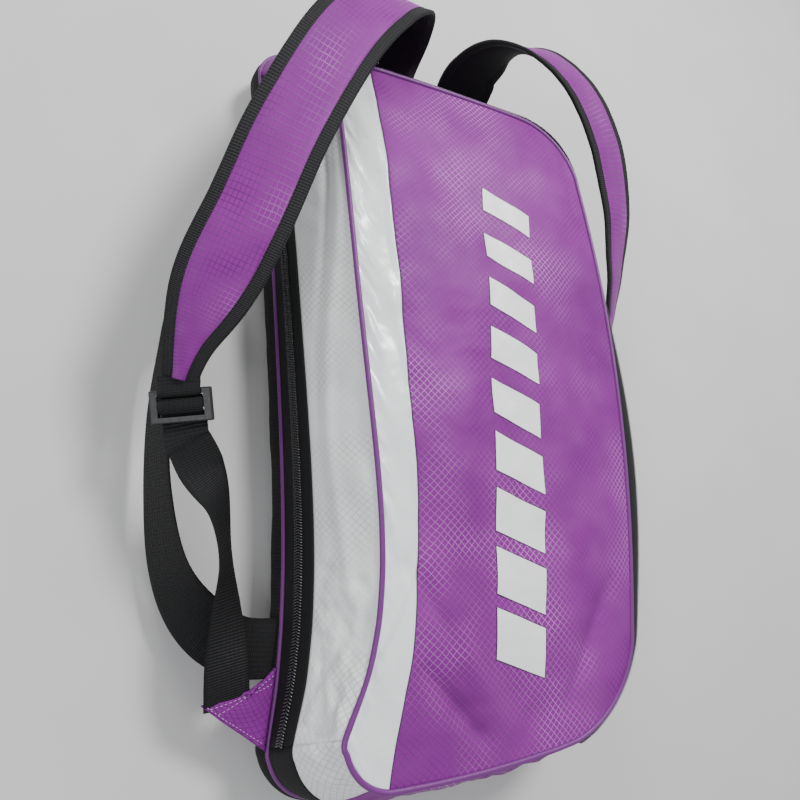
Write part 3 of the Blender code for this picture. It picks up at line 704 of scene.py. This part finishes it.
# The white motif: plain slanted bars over a slightly larger dark edge
motif = {
    "bars": 9,
    "start": (0.036, 0.200),
    "end": (0.006, -0.280),
    "width": 0.056,
    "slant": 0.020,
    "fill": 0.80,            # how much of its share of the run the longest bar takes
    "edge": 0.0009,
    "lift": 0.00025,
}
barStart, barEnd = Vector(motif["start"]), Vector(motif["end"])
barRun = (barEnd - barStart) / motif["bars"]
barAlong = barRun.normalized()
barAcross = Vector((-barAlong.y, barAlong.x))
for kind, look, grow, lift in (("Edge", motifEdge, motif["edge"], motif["lift"]),
                               ("Ink", motifInk, 0.0, 2 * motif["lift"])):
    pieces = []
    for index in range(motif["bars"]):
        centre = barStart + barRun * (index + 0.5)
        reach = barRun.length * motif["fill"] * (0.60 + 0.40 * index / (motif["bars"] - 1)) / 2 + grow
        wide = motif["width"] / 2 + grow

        def place(s, t, centre=centre, reach=reach, wide=wide):
            a, b = 2 * s - 1, 2 * t - 1
            corner = max(abs(a), abs(b))
            plan = centre + barAcross * a * wide + barAlong * (b * reach + a * motif["slant"] / 2)
            return Vector((plan.x, plan.y, faceTop(plan.x, plan.y) + lift))

        pieces.append(keep("bar", layGrid(24, 16, place), [look], upwards))
    with bpy.context.temp_override(active_object=pieces[0], selected_editable_objects=pieces):
        bpy.ops.object.join()
    bars = pieces[0]
    bars.name = "motifBars" + kind
    foldBlend(bars)
print("motif laid")


# Walls. A patch runs from station start to station end, and from low to high up the wall.
wall = {"soft": 0.003, "spacing": 0.004}


def wallPatch(name, looks, start, end, low, high, rows, spacing=wall["spacing"], soft=wall["soft"],
              seed=1.0, extra=None, proud=0.0, thickness=clothThickness):
    length = runLength(start, end)
    columns = max(4, round(length / spacing))
    run = wallRun((start + end) / 2)

    def place(a, b):
        u = start + (end - start) * a
        s = low(u) + (high(u) - low(u)) * b
        point, along, up, normal = wallFrame(u, s)
        hold = min(1.0, 5 * min(b, 1 - b)) * min(1.0, 40 * min(a, 1 - a) + 0.15)
        push = rumple(point, 15.0, seed) * soft * 0.7 + rumple(point, 40.0, seed + 4) * soft * 0.15
        if extra:
            push += extra(u, s, point)
        return point + normal * (push * hold + proud)

    middle = (start + end) / 2
    height = (high(middle) - low(middle)) * run
    bm = layGrid(columns, rows, place, (length, height))
    normal = sum((wallFrame(start + (end - start) * k / 6, 0.5)[3] for k in range(7)), Vector())
    item = keep(name, bm, looks, normal)
    shell(item, thickness, inner=len(looks) - 1)
    return item


def onSeam(u):
    return 1.0


def onBack(u):
    return 0.0


zips = {
    "depth": 0.019,          # front zip's middle below the face's seam
    "rise": 0.025,           # main zip's middle above the back's seam
    "spread": 0.0027,        # each row of teeth from the middle
    "coil": 0.0022,
    "frontTape": 0.010,
    "mainTape": 0.014,
    "pitch": 0.0024,
    "tooth": (0.0016, 0.0068, 0.0032),
    "toothTurn": 24,         # degrees
    "toothLift": 0.0011,
    "split": 0.245,          # the main zip's two sliders part here
}
zipReach = zips["spread"] + zips["coil"]
frontLow = fromFace(zips["depth"] + zipReach + zips["frontTape"])
zippedWall = wallPatch("zippedWallCloth", [purpleWall, lining], zipEnd, zipStart, onBack, frontLow, 22, seed=2.0)
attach(zippedWall, "bag_body")
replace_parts(zippedWall, "right_gusset", "top_gusset")
topCorner = wallPatch("topCornerCloth", [purpleWall, lining], zipStart, leftStart, onBack, onSeam, 32, seed=5.0)
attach(topCorner, "bag_body")
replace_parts(topCorner, "top_corner_gusset")


whiteCorner = 4.0                  # station where the white wall ends round the lower corner


def lowCrumple(u, s, point):
    return rumple(point, 55.0, 9.0) * 0.0018 + rumple(point, 26.0, 2.0) * 0.0022


bottomWall = wallPatch("bottomWallCloth", [purpleWall, lining], whiteCorner, zipEnd, onBack, onSeam, 34, seed=8.0,
                       extra=lowCrumple)
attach(bottomWall, "bag_body")
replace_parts(bottomWall, "bottom_gusset")

mainTop = fromBack(zips["rise"] + zipReach + zips["mainTape"])


whiteFold = {
    "height": 0.66,          # where the long fold runs up the wall, and how far it wanders
    "wander": 0.16,
    "valley": (0.045, 0.0036),           # half width as a share of the wall, and depth
    "ridge": (0.06, 0.0016),
    "crumpleFrom": 0.72,     # share of the side below which the cloth crumples
}


def whiteFolds(u, s, point):
    part = (u - leftStart) / longSteps
    middle = whiteFold["height"] + whiteFold["wander"] * math.sin(2.2 * math.pi * part + 0.6)
    (valleyWidth, valleyDepth), (ridgeWidth, ridgeHeight) = whiteFold["valley"], whiteFold["ridge"]
    valley = -math.exp(-((s - middle) / valleyWidth) ** 2) * valleyDepth * (0.5 + 0.5 * math.sin(5 * part + 0.8))
    ridge = math.exp(-((s - middle - 0.12) / ridgeWidth) ** 2) * ridgeHeight
    low = max(0.0, min(1.0, (part - whiteFold["crumpleFrom"]) / 0.2))
    crumple = rumple(point, 60.0, 3.0) * 0.0034 + rumple(point, 28.0, 6.0) * 0.0040
    return valley + ridge + low * crumple + rumple(point, 9.0, 12.0) * 0.0016


whiteFull = wallPatch("leftWallCloth", [whiteWall, lining], leftStart, stations, mainTop, onSeam, 30,
                      spacing=0.003, seed=4.0, extra=whiteFolds)
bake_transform(whiteFull)
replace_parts(whiteFull, "left_gusset")
cornerCloth = wallPatch("lowerCornerCloth", [whiteWall, lining], 0.0, whiteCorner, mainTop, onSeam, 40,
                        spacing=0.002, seed=9.0, extra=lowCrumple)
cornerTape = wallPatch("lowerCornerTape", [tapeCloth, lining], 0.0, whiteCorner, onBack, mainTop, 10, soft=0.0)
for item, slot in ((cornerCloth, "white_ripstop"), (cornerTape, "black_webbing")):
    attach(item, "bag_body")
print("walls laid")


# Zips
def stubMesh(name, create, settings, size, turn=None):
    data = bpy.data.meshes.new(name)
    bm = bmesh.new()
    create(bm, **settings)
    bmesh.ops.scale(bm, vec=size, verts=bm.verts)
    if turn:
        bmesh.ops.rotate(bm, matrix=turn, verts=bm.verts)
    bm.to_mesh(data)
    bm.free()
    return data


def addStub(row, stub, place):
    row.from_mesh(stub)
    row.verts.ensure_lookup_table()
    fresh = [row.verts[k] for k in range(len(row.verts) - len(stub.vertices), len(row.verts))]
    bmesh.ops.transform(row, matrix=place, verts=fresh)


def squareTo(place, along, up, normal):
    return Matrix.Translation(place) @ Matrix((along, up, normal)).transposed().to_4x4()


def teeth(name, start, end, height, toward):
    count = int(runLength(start, end) / zips["pitch"])
    lean = Matrix.Rotation(math.radians(zips["toothTurn"]) * toward, 3, "Z")
    stub = stubMesh("toothShape", bmesh.ops.create_uvsphere, {"u_segments": 6, "v_segments": 5, "radius": 0.5},
                    zips["tooth"], lean)
    row = bmesh.new()
    for index in range(count):
        u = start + (end - start) * (index + 0.5) / count
        point, along, up, normal = wallFrame(u, height(u))
        addStub(row, stub, squareTo(point + normal * zips["toothLift"], along, up, normal))
    return keep(name, row, [coilNylon])


def tapeAndTeeth(prefix, start, end, low, high, height, toward, rider=None):
    tape = wallPatch(prefix + "Tape", [tapeCloth, tapeCloth], start, end, low, high, 6, spacing=0.006, soft=0.0,
                     proud=0.0004, thickness=0.0012)
    coil = teeth(prefix + "Teeth", start, end, height, toward)
    node = "".join("_" + letter.lower() if letter.isupper() else letter for letter in prefix)
    for item, tail in ((tape, "_tape"), (coil, "_coil")):
        if rider:
            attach(item, rider)
        else:
            foldBlend(item)
        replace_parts(item, node + tail)


def beside(middle, measure, away):          # the two lines this far below and above a zip's middle
    return measure(middle - away), measure(middle + away)


tapeGap = 0.0005
flapEdge, frontEdge = beside(zips["depth"], fromFace, tapeGap)
flapCoil, frontCoil = beside(zips["depth"], fromFace, zips["spread"])
lowerEdge, upperEdge = beside(zips["rise"], fromBack, tapeGap)
lowerCoil, upperCoil = beside(zips["rise"], fromBack, zips["spread"])
mainSplit = leftStation(zips["split"])
tapeAndTeeth("frontZipFlap", zipEnd, zipStart, flapEdge, onSeam, flapCoil, 1)
tapeAndTeeth("frontZipBody", zipEnd, zipStart, frontLow, frontEdge, frontCoil, -1, "bag_body")
tapeAndTeeth("mainZipLower", leftStart, stations, onBack, lowerEdge, lowerCoil, 1, "bag_body")
tapeAndTeeth("mainZipTop", leftStart, mainSplit, upperEdge, mainTop, upperCoil, -1, "bag_body")
tapeAndTeeth("mainZipUpper", mainSplit, stations, upperEdge, mainTop, upperCoil, -1, "side_flap")
print("zips made")


# Piping
piping = {"radius": 0.0025, "steps": 420}


def pipingCord(name, s):
    seam = [wallPoint(stations * k / piping["steps"], s) for k in range(piping["steps"])]
    return pipe(name, pipingCloth, seam, piping["radius"], cyclic=True)


frontCord = pipingCord("frontPipingCord", 1.0)
foldBlend(frontCord)
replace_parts(frontCord, "front_piping", "front_flap_piping")
backCord = pipingCord("backPipingCord", 0.0)
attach(backCord, "bag_body")
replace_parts(backCord, "back_piping")


# The back: a narrow black wall, the pad, the divider and the board
back = {
    "padTop": 0.0124,
    "swell": 0.004,
    "round": 2.2,            # metres of cloth round the bag, for the weave's scale
    "pad": (                 # how far in from the seam, and how high, from the middle outwards
        (0.190, 0.0006), (0.060, 0.0006), (0.012, 0.0), (0.004, 0.002), (0.0006, 0.0078), (0.0004, 0.0124),
    ),
    "divider": 0.0962,       # heights of the two sheets inside
    "board": 0.0150,
}


def backRing(a, b):
    u = a * stations
    height = back["padTop"] + (body["seamHeight"] - back["padTop"]) * b
    out = outward(backLine, u)
    plan = onLine(backLine, u) + out * math.sin(math.pi * b) * back["swell"]
    plan += out * rumple(Vector((plan.x, plan.y, height)), 22.0, 6.0) * 0.0012 * min(1.0, 4 * min(b, 1 - b))
    return Vector((plan.x, plan.y, height))


backWall = keep("backWallCloth", layGrid(420, 12, backRing, (back["round"], 0.034), closed=True),
                [backCloth, lining])
shell(backWall, clothThickness, offset=1.0)
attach(backWall, "bag_body")
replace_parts(backWall, "back_gusset")


def padPlace(a, b):
    levels = back["pad"]
    spot = b * (len(levels) - 1)
    index = min(int(spot), len(levels) - 2)
    t = spot - index
    inset, height = (low * (1 - t) + high * t for low, high in zip(levels[index], levels[index + 1]))
    plan = onLine(backLine, a * stations) * max(0.0, 1 - inset / levels[0][0])
    return Vector((plan.x, plan.y, height))


backPad = layGrid(256, 15, padPlace, (back["round"], 0.2), closed=True)
bmesh.ops.holes_fill(backPad, edges=openEdges(backPad), sides=0)
bmesh.ops.recalc_face_normals(backPad, faces=backPad.faces)
backPad = keep("backPanelPad", backPad, [backCloth])
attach(backPad, "bag_body")
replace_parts(backPad, "back_panel")


def plate(name, look, height, inset, thickness, node):
    def place(a, b):
        u = a * stations
        edge = onLine(backLine, u)
        if height > body["seamHeight"]:
            rise = edgeHeight(onLine(faceLine, u).y) - body["seamHeight"]
            edge = wallPoint(u, (height - body["seamHeight"]) / rise)
        plan = (Vector((edge.x, edge.y)) - outward(backLine, u) * inset) * (0.03 + 0.97 * b)
        droop = rumple(Vector((plan.x, plan.y, 0.0)), 8.0, 4.0) * 0.0010
        return Vector((plan.x, plan.y, height + droop))

    bm = layGrid(192, 14, place, (back["round"], 0.2), closed=True)
    inner = [edge for edge in openEdges(bm) if edge.verts[0].co.xy.length < 0.05]
    bmesh.ops.holes_fill(bm, edges=inner, sides=0)
    item = keep(name, bm, [look], upwards)
    shell(item, thickness, offset=0.0, inner=0)
    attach(item, "bag_body")
    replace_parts(item, node)


plate("dividerCloth", lining, back["divider"], 0.0042, clothThickness, "divider")
plate("backBoardSheet", boardLook, back["board"], 0.0120, 0.0020, "back_board")
print("back made")


# Shoulder straps. Each route lists places and the way the strap's face looks there.
strap = {
    "width": 0.075,
    "tip": 0.031,
    "taperFrom": 0.72,       # share of the strap's length where it starts to narrow
    "thickness": 0.0085,
    "binding": 0.0125,
    "bindingThick": 0.0046,
    "ripple": 0.0012,
}
leftStrap = [
    ((-0.0545, 0.388, 0.050), (0, 1, 0)),
    ((-0.056, 0.404, 0.090), (-0.05, 0.96, 0.28)),
    ((-0.074, 0.398, 0.134), (-0.1, 0.75, 0.65)),
    ((-0.112, 0.362, 0.164), (-0.05, 0.35, 0.93)),
    ((-0.158, 0.296, 0.172), (-0.1, 0.05, 1)),
    ((-0.206, 0.198, 0.165), (-0.25, -0.02, 0.97)),
    ((-0.238, 0.112, 0.150), (-0.35, -0.1, 0.93)),
    ((-0.263, 0.050, 0.131), (-0.4, -0.2, 0.9)),
    ((-0.277, 0.010, 0.114), (-0.45, -0.3, 0.85)),
    ((-0.283, -0.022, 0.100), (-0.5, -0.35, 0.8)),
]
rightStrap = [
    ((0.0545, 0.388, 0.050), (0, 1, 0)),
    ((0.056, 0.404, 0.085), (0.03, 0.96, 0.28)),
    ((0.075, 0.408, 0.122), (0.1, 0.8, 0.6)),
    ((0.118, 0.398, 0.145), (0.1, 0.4, 0.9)),
    ((0.168, 0.364, 0.148), (0.05, 0.2, 0.97)),
    ((0.210, 0.302, 0.138), (0.12, 0.08, 0.98)),
    ((0.233, 0.226, 0.118), (0.30, 0.0, 0.93)),
    ((0.242, 0.150, 0.092), (0.5, 0.0, 0.85)),
    ((0.243, 0.080, 0.067), (0.6, -0.05, 0.8)),
    ((0.241, 0.020, 0.047), (0.5, -0.1, 0.85)),
]
leftWeb = [
    ((-0.277, -0.064, 0.092), (-0.4, -0.2, 0.9)),
    ((-0.262, -0.092, 0.088), (0.1, -0.1, 1)),
    ((-0.246, -0.122, 0.080), (0.7, 0, 0.6)),
    ((-0.238, -0.165, 0.072), (0.9, 0, 0.45)),
    ((-0.236, -0.210, 0.068), (0.6, 0.05, 0.75)),
    ((-0.234, -0.255, 0.062), (0.15, 0.1, 1)),
    ((-0.2305, -0.289, 0.0485), (-0.05, 0.1, 1)),
]
rightWeb = [
    ((0.239, -0.030, 0.033), (0.4, -0.1, 0.9)),
    ((0.238, -0.075, 0.024), (0.25, 0, 1)),
    ((0.235, -0.125, 0.022), (0.1, 0, 1)),
    ((0.228, -0.175, 0.030), (0, 0, 1)),
    ((0.215, -0.215, 0.040), (0, 0, 1)),
]
handleRoute = [
    ((-0.190, -0.246, 0.044), (0, 0, 1)),
    ((-0.224, -0.240, 0.040), (-0.05, 0, 1)),
    ((-0.256, -0.214, 0.040), (-0.4, -0.25, 0.85)),
    ((-0.280, -0.170, 0.042), (-0.80, -0.3, 0.55)),
    ((-0.291, -0.106, 0.044), (-0.95, -0.1, 0.35)),
    ((-0.292, -0.040, 0.043), (-0.95, 0.05, 0.3)),
    ((-0.284, 0.020, 0.043), (-0.9, 0.3, 0.38)),
    ((-0.266, 0.070, 0.044), (-0.5, 0.4, 0.75)),
    ((-0.236, 0.098, 0.041), (-0.1, 0.1, 1)),
    ((-0.211, 0.104, 0.044), (0, 0, 1)),
]


def strapWidth(part):
    taper = max(0.0, (part - strap["taperFrom"]) / (1 - strap["taperFrom"]))
    return strap["width"] + (strap["tip"] - strap["width"]) * taper ** 2 * (3 - 2 * taper)


def rounded(width, thickness, centre=0.0, sides=20, power=0.28):
    points = []
    for k in range(sides):
        angle = 2 * math.pi * k / sides
        c, s = math.cos(angle), math.sin(angle)
        points.append((centre + width / 2 * math.copysign(abs(c) ** power, c),
                       thickness / 2 * math.copysign(abs(s) ** 0.8, s)))
    return points


def padSection(part):
    half = (strapWidth(part) - 1.5 * strap["binding"]) / 2
    count, edge = 18, 0.0012             # points across, and half the pad's thickness at its edge
    top, low = [], []
    for k in range(count + 1):
        a = -1 + 2 * k / count
        puff = (1 - abs(a) ** 2.6) ** 0.6 if abs(a) < 1 else 0.0
        lift = edge + (strap["thickness"] / 2 - edge) * puff
        top.append((a * half, lift))
        low.append((a * half, -lift * 0.85))
    return top + low[::-1]


def softFrames(side, route):
    seed = 3.0 if side == "left" else 8.0
    return [(point + out * rumple(point, 18.0, seed) * strap["ripple"], across, out, part)
            for point, across, out, part in ribbonFrames(route, 150)]


def layStrap(side, route):
    rider = side + "_strap"
    length = routeLength(ribbonFrames(route, 150))
    soft = softFrames(side, route)
    pad = sweep(side + "StrapPad", [purpleStrap, backCloth], soft, padSection, (0.14, length), underLook=1)
    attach(pad, rider)
    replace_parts(pad, side + "_shoulder_strap")
    for edge, name in ((-1, "Outer"), (1, "Inner")):
        sign = edge if side == "left" else -edge

        def section(part, sign=sign):
            middle = sign * (strapWidth(part) - strap["binding"]) / 2
            return rounded(strap["binding"], strap["bindingThick"], middle)

        binding = sweep(side + "Strap" + name + "Binding", [bindingCloth], soft, section, (0.03, length))
        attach(binding, rider)
        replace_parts(binding, f"{side}_strap_{name.lower()}_binding")


layStrap("left", leftStrap)
layStrap("right", rightStrap)


webbing = {
    "adjusting": (0.038, 0.0018),        # widths and thicknesses
    "keeper": (0.036, 0.0014),
    "handle": (0.050, 0.0024),
    "end": 0.975,                        # the adjusting webbing stops just inside the tab's edge
}


# sewn: when given, the webbing is fixed where it lies instead of riding its body; the two places it holds are not
# used
def layWebbing(name, rider, node, frames, size, sewn=None):
    width, thickness = size
    length = routeLength(frames)
    section = rounded(width, thickness, sides=16, power=0.2)
    item = sweep(name, [webCloth], frames, lambda part: section, (2 * width, length))
    if sewn:
        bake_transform(item)
    else:
        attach(item, rider)
    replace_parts(item, node)


def lockFrame(route, web):
    tip, across, out, _ = ribbonFrames(route, 1)[-1]
    first = Vector(web[0][0])
    along = (first - tip).normalized()
    across = along.cross(out).normalized()
    return tip, first, along, across, across.cross(along)


for side, route, web, count in (("left", leftStrap, leftWeb, 200), ("right", rightStrap, rightWeb, 150)):
    tip, first, along, across, out = lockFrame(route, web)
    middle = (tip + first) / 2
    half = (first - tip).length / 2 - 0.0078
    gap = (2 * half - 0.015) / 4 + 0.0025
    # the adjusting webbing comes up through the far slot, over the middle bar and down the near slot
    path = [(-gap * 0.2, -0.0062), (-gap * 1.05, -0.0035), (-gap * 0.95, 0.0012), (0.0, 0.0038),
            (gap * 0.95, 0.0012), (gap * 1.05, -0.0034), (half, -0.0042)]
    joined = [(middle + along * a + out * b, out) for a, b in path]
    places, faces = [Vector(place) for place, _ in web], [Vector(face) for _, face in web]
    steps = 26
    for step in range(1, steps + 1):
        part = step / steps * webbing["end"]
        joined.append((smoothBetween(places, part), out.lerp(smoothBetween(faces, part), min(1.0, part * 5))))
    layWebbing(side + "AdjustWebbing", side + "_strap", side + "_adjust_webbing", ribbonFrames(joined, count),
               webbing["adjusting"], sewn=(places[1], places[-1]))
    # the keeper is sewn under the strap's tip and goes round the lock's near bar
    keeper = [(tip - along * 0.004 + out * 0.0005, out), (tip + along * 0.004 + out * 0.001, out)]
    keeper += [(middle - along * (half - past) + out * rise, out)
               for past, rise in ((0.001, 0.0034), (0.0052, 0.0026), (0.0062, -0.0024))]
    layWebbing(side + "LockKeeper", side + "_strap", side + "_lock_keeper", ribbonFrames(keeper, 16),
               webbing["keeper"])

layWebbing("carryHandleWebbing", "handle", "carry_handle", ribbonFrames(handleRoute, 140), webbing["handle"])
print("straps and webbing laid")


# Stitching and the corner tabs
stitch = {"length": 0.0026, "gap": 0.0012, "radius": 0.00035, "lift": 0.0003}
tab = {
    "depth": 0.010,          # how far the webbing reaches under the tab
    "halfWidth": 0.0205,
    "thickness": 0.0034,
    "lift": 0.0016,
    "puff": 0.0022,
}


def stitches(name, lines, look, rider):
    row = bmesh.new()
    stub = stubMesh("stitchShape", bmesh.ops.create_uvsphere, {"u_segments": 6, "v_segments": 4, "radius": 1.0},
                    (stitch["radius"], stitch["radius"], stitch["length"] / 2))
    for line in lines:
        run, target = 0.0, stitch["length"] / 2
        for first, second in zip(line, line[1:]):
            step = (second - first).length
            while step > 0 and target <= run + step:
                spot = first.lerp(second, (target - run) / step)
                turn = (second - first).to_track_quat("Z", "Y").to_matrix().to_4x4()
                addStub(row, stub, Matrix.Translation(spot) @ turn)
                target += stitch["length"] + stitch["gap"]
            run += step
    item = keep(name, row, [look])
    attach(item, rider)
    return item


def layTab(side, low, high, web):
    point, across, out, _ = ribbonFrames(web, 8)[-1]
    along = out.cross(across)
    seams = []
    for u in (low, high):
        plan = onLine(backLine, u) + outward(backLine, u) * 0.0028
        seams.append(Vector((plan.x, plan.y, body["seamHeight"])))
    ends = [point - along * tab["depth"] + across * sign * tab["halfWidth"] for sign in (-1, 1)]
    near, far = sorted(ends, key=lambda corner: (corner - seams[1]).length)

    def place(s, t):
        spot = seams[0].lerp(seams[1], s).lerp(far.lerp(near, s), t)
        lift = tab["puff"] * math.sin(math.pi * t) * math.sin(math.pi * s) + tab["lift"]
        return spot + out * (lift + rumple(spot, 40.0, 2.0) * 0.0008)

    cloth = keep(side + "TabCloth", layGrid(26, 22, place, (0.066, 0.045)), [purpleWall, purpleWall], out)
    shell(cloth, tab["thickness"])
    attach(cloth, "bag_body")
    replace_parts(cloth, side + "_corner_tab")
    proud = out * stitch["lift"]
    lines = [[place(s, t / 30) + proud for t in range(2, 30)] for s in (0.07, 0.93, 0.82)]
    lines += [[place(s / 30, t) + proud for s in range(2, 29)] for t in (0.92, 0.80)]
    stitches(side + "TabStitches", lines, threadLook, "bag_body")


layTab("left", leftStation(-0.328), leftStation(-0.262), leftWeb)
layTab("right", cornerStart[1] + arcSteps + 1.4, cornerStart[1] + arcSteps, rightWeb)


def strapStitches(side, route):
    lines = []
    for sign in (-1, 1):
        line = []
        for point, across, out, part in softFrames(side, route)[1:-1]:
            reach = strapWidth(part) / 2 - strap["binding"] + 0.0018
            line.append(point + across * sign * reach + out * (strap["bindingThick"] / 2 + 0.0001))
        lines.append(line)
    stitches(side + "StrapStitches", lines, darkThread, side + "_strap")


strapStitches("left", leftStrap)
strapStitches("right", rightStrap)
print("stitching done")


# Sliders. Each block is its middle and its size, along the zip, across it and outwards.
slider = {
    "base": ((0, 0, 0.0055), (0.020, 0.013, 0.0022)),
    "taper": 0.62,           # width of the base's front end against its back
    "arch": ((0.0, 0, 0.0078), (0.014, 0.0042, 0.0026)),
    "pullMiddle": 0.0185,
    "pullSize": (0.029, 0.009, 0.0020),
    "pullHeight": zips["coil"] + 0.0016 + 0.0055 + 0.0004 + 0.0011,
    "pullCorner": 0.0028,
    "ring": (0.0025, 0.0035, 0.0032),    # the link's middle, half length and half width
    "wire": 0.0007,
    "lowPark": 0.262,        # where the two main sliders and the front one stand
    "highPark": 0.292,
    "frontPark": 0.013,
}


def block(bm, middle, size):
    shape = Matrix.Translation(middle) @ Matrix.Diagonal((*size, 1))
    return bmesh.ops.create_cube(bm, size=1.0, matrix=shape)["verts"]


def roundEdges(bm, edges, offset, segments=2):
    bmesh.ops.bevel(bm, geom=edges, offset=offset, segments=segments, affect="EDGES", profile=0.5, material=-1)


def finishBlock(name, bm, look, place, rider):
    bmesh.ops.transform(bm, matrix=place, verts=bm.verts)
    bmesh.ops.recalc_face_normals(bm, faces=bm.faces)
    item = keep(name, bm, [look])
    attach(item, rider)
    return item


def makeSlider(name, u, s, toward, sliderBody, pullBody, node):
    point, along, _, normal = wallFrame(u, s)
    along = along * toward
    place = squareTo(point, along, normal.cross(along), normal)
    bm = bmesh.new()
    for vertex in block(bm, *slider["base"]):
        if vertex.co.x > 0:
            vertex.co.y *= slider["taper"]
    roundEdges(bm, bm.edges[:], 0.0008)
    arch = block(bm, *slider["arch"])
    roundEdges(bm, [edge for edge in bm.edges if all(vertex in arch for vertex in edge.verts)], 0.0009)
    item = finishBlock(name + "Body", bm, sliderPaint, place, sliderBody)
    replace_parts(item, node.replace("puller", "slider"))
    bm = bmesh.new()
    height = slider["pullHeight"]
    block(bm, (slider["pullMiddle"], 0, height), slider["pullSize"])
    upright = [edge for edge in bm.edges if abs(edge.verts[0].co.z - edge.verts[1].co.z) > 0.001]
    roundEdges(bm, upright, slider["pullCorner"], segments=4)
    roundEdges(bm, [edge for edge in bm.edges if edge.calc_face_angle(0) > 1.2], 0.0005)
    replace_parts(finishBlock(name + "Pull", bm, buckle, place, pullBody), node)
    middle, long, wide = slider["ring"]
    angles = [step * math.pi / 8 for step in range(16)]
    ring = [place @ Vector((middle + long * math.cos(a), wide * math.sin(a), height)) for a in angles]
    link = pipe(name + "Link", sliderChrome, ring, slider["wire"], sides=8, cyclic=True)
    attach(link, pullBody)


for name, y, toward, tail in (("mainLow", slider["lowPark"], 1, "low"), ("mainHigh", slider["highPark"], -1, "high")):
    u = leftStation(y)
    makeSlider(name, u, fromBack(zips["rise"])(u), toward, "main_slider_" + tail, "main_pull_" + tail,
               "main_zip_puller_" + tail)
u = zipStart + slider["frontPark"] / ((topFrom - topTo) / shortSteps)
makeSlider("front", u, fromFace(zips["depth"])(u), 1, "front_slider", "front_pull", "front_zip_puller")
print("sliders made")


# Finishes of the parts whose own shape stays
for side in ("left", "right"):
    for node, look in ((side + "_ladder_lock", buckle), (side + "_strap_anchor", patchCloth)):
        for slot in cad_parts[node].material_slots:
            slot.material = look


# Floor, light and camera
studio = {
    "floorColour": (0.62, 0.61, 0.60),
    "sky": (0.93, 0.96, 1.0, 1.0),
    "skyStrength": 0.50,
    "lights": (              # name, place, target, size, power and colour
        ("keyLight", (0.7, 1.1, 1.9), (0, 0, 0.1), 0.6, 46.0, (1.0, 1.0, 1.0)),
        ("fillLight", (-1.6, -0.8, 1.6), (0, 0, 0.1), 1.6, 16.0, (0.95, 0.97, 1.0)),
        ("rimLight", (-0.6, 1.8, 1.2), (0, 0.1, 0.1), 0.8, 12.0, (1.0, 1.0, 1.0)),
    ),
}
bm = bmesh.new()
bmesh.ops.create_grid(bm, x_segments=1, y_segments=1, size=6.0)
floor = keep("floor", bm, [satin("floorPaint", studio["floorColour"], 0.6, grain=20.0, depth=0.0001)])
world = bpy.data.worlds.new("studio")
bpy.context.scene.world = world
world.use_nodes = True
sky = world.node_tree.nodes["Background"]
sky.inputs["Color"].default_value = studio["sky"]
sky.inputs["Strength"].default_value = studio["skyStrength"]
for name, place, target, size, power, colour in studio["lights"]:
    data = bpy.data.lights.new(name, "AREA")
    data.shape = "DISK"
    data.size = size
    data.energy = power
    data.color = colour
    item = bpy.data.objects.new(name, data)
    bpy.context.scene.collection.objects.link(item)
    item.location = place
    item.rotation_euler = (Vector(target) - Vector(place)).to_track_quat("-Z", "Y").to_euler()

view = {
    "place": (-0.345, -0.1535, 0.5986),
    "right": (0.8879, -0.0488, 0.4574),
    "up": (-0.0577, 0.9747, 0.2160),
    "forward": (0.4564, 0.2182, -0.8626),
    "lens": 27.0,
}
camData = bpy.data.cameras.new("camera")
camData.lens = view["lens"]
camData.sensor_width = 36.0
camData.clip_start = 0.02
camera = bpy.data.objects.new("camera", camData)
bpy.context.scene.collection.objects.link(camera)
turn = Matrix((Vector(view["right"]), Vector(view["up"]), -Vector(view["forward"]))).transposed()
camera.matrix_world = Matrix.Translation(view["place"]) @ turn.to_4x4()
bpy.context.scene.camera = camera

print("scene ready")
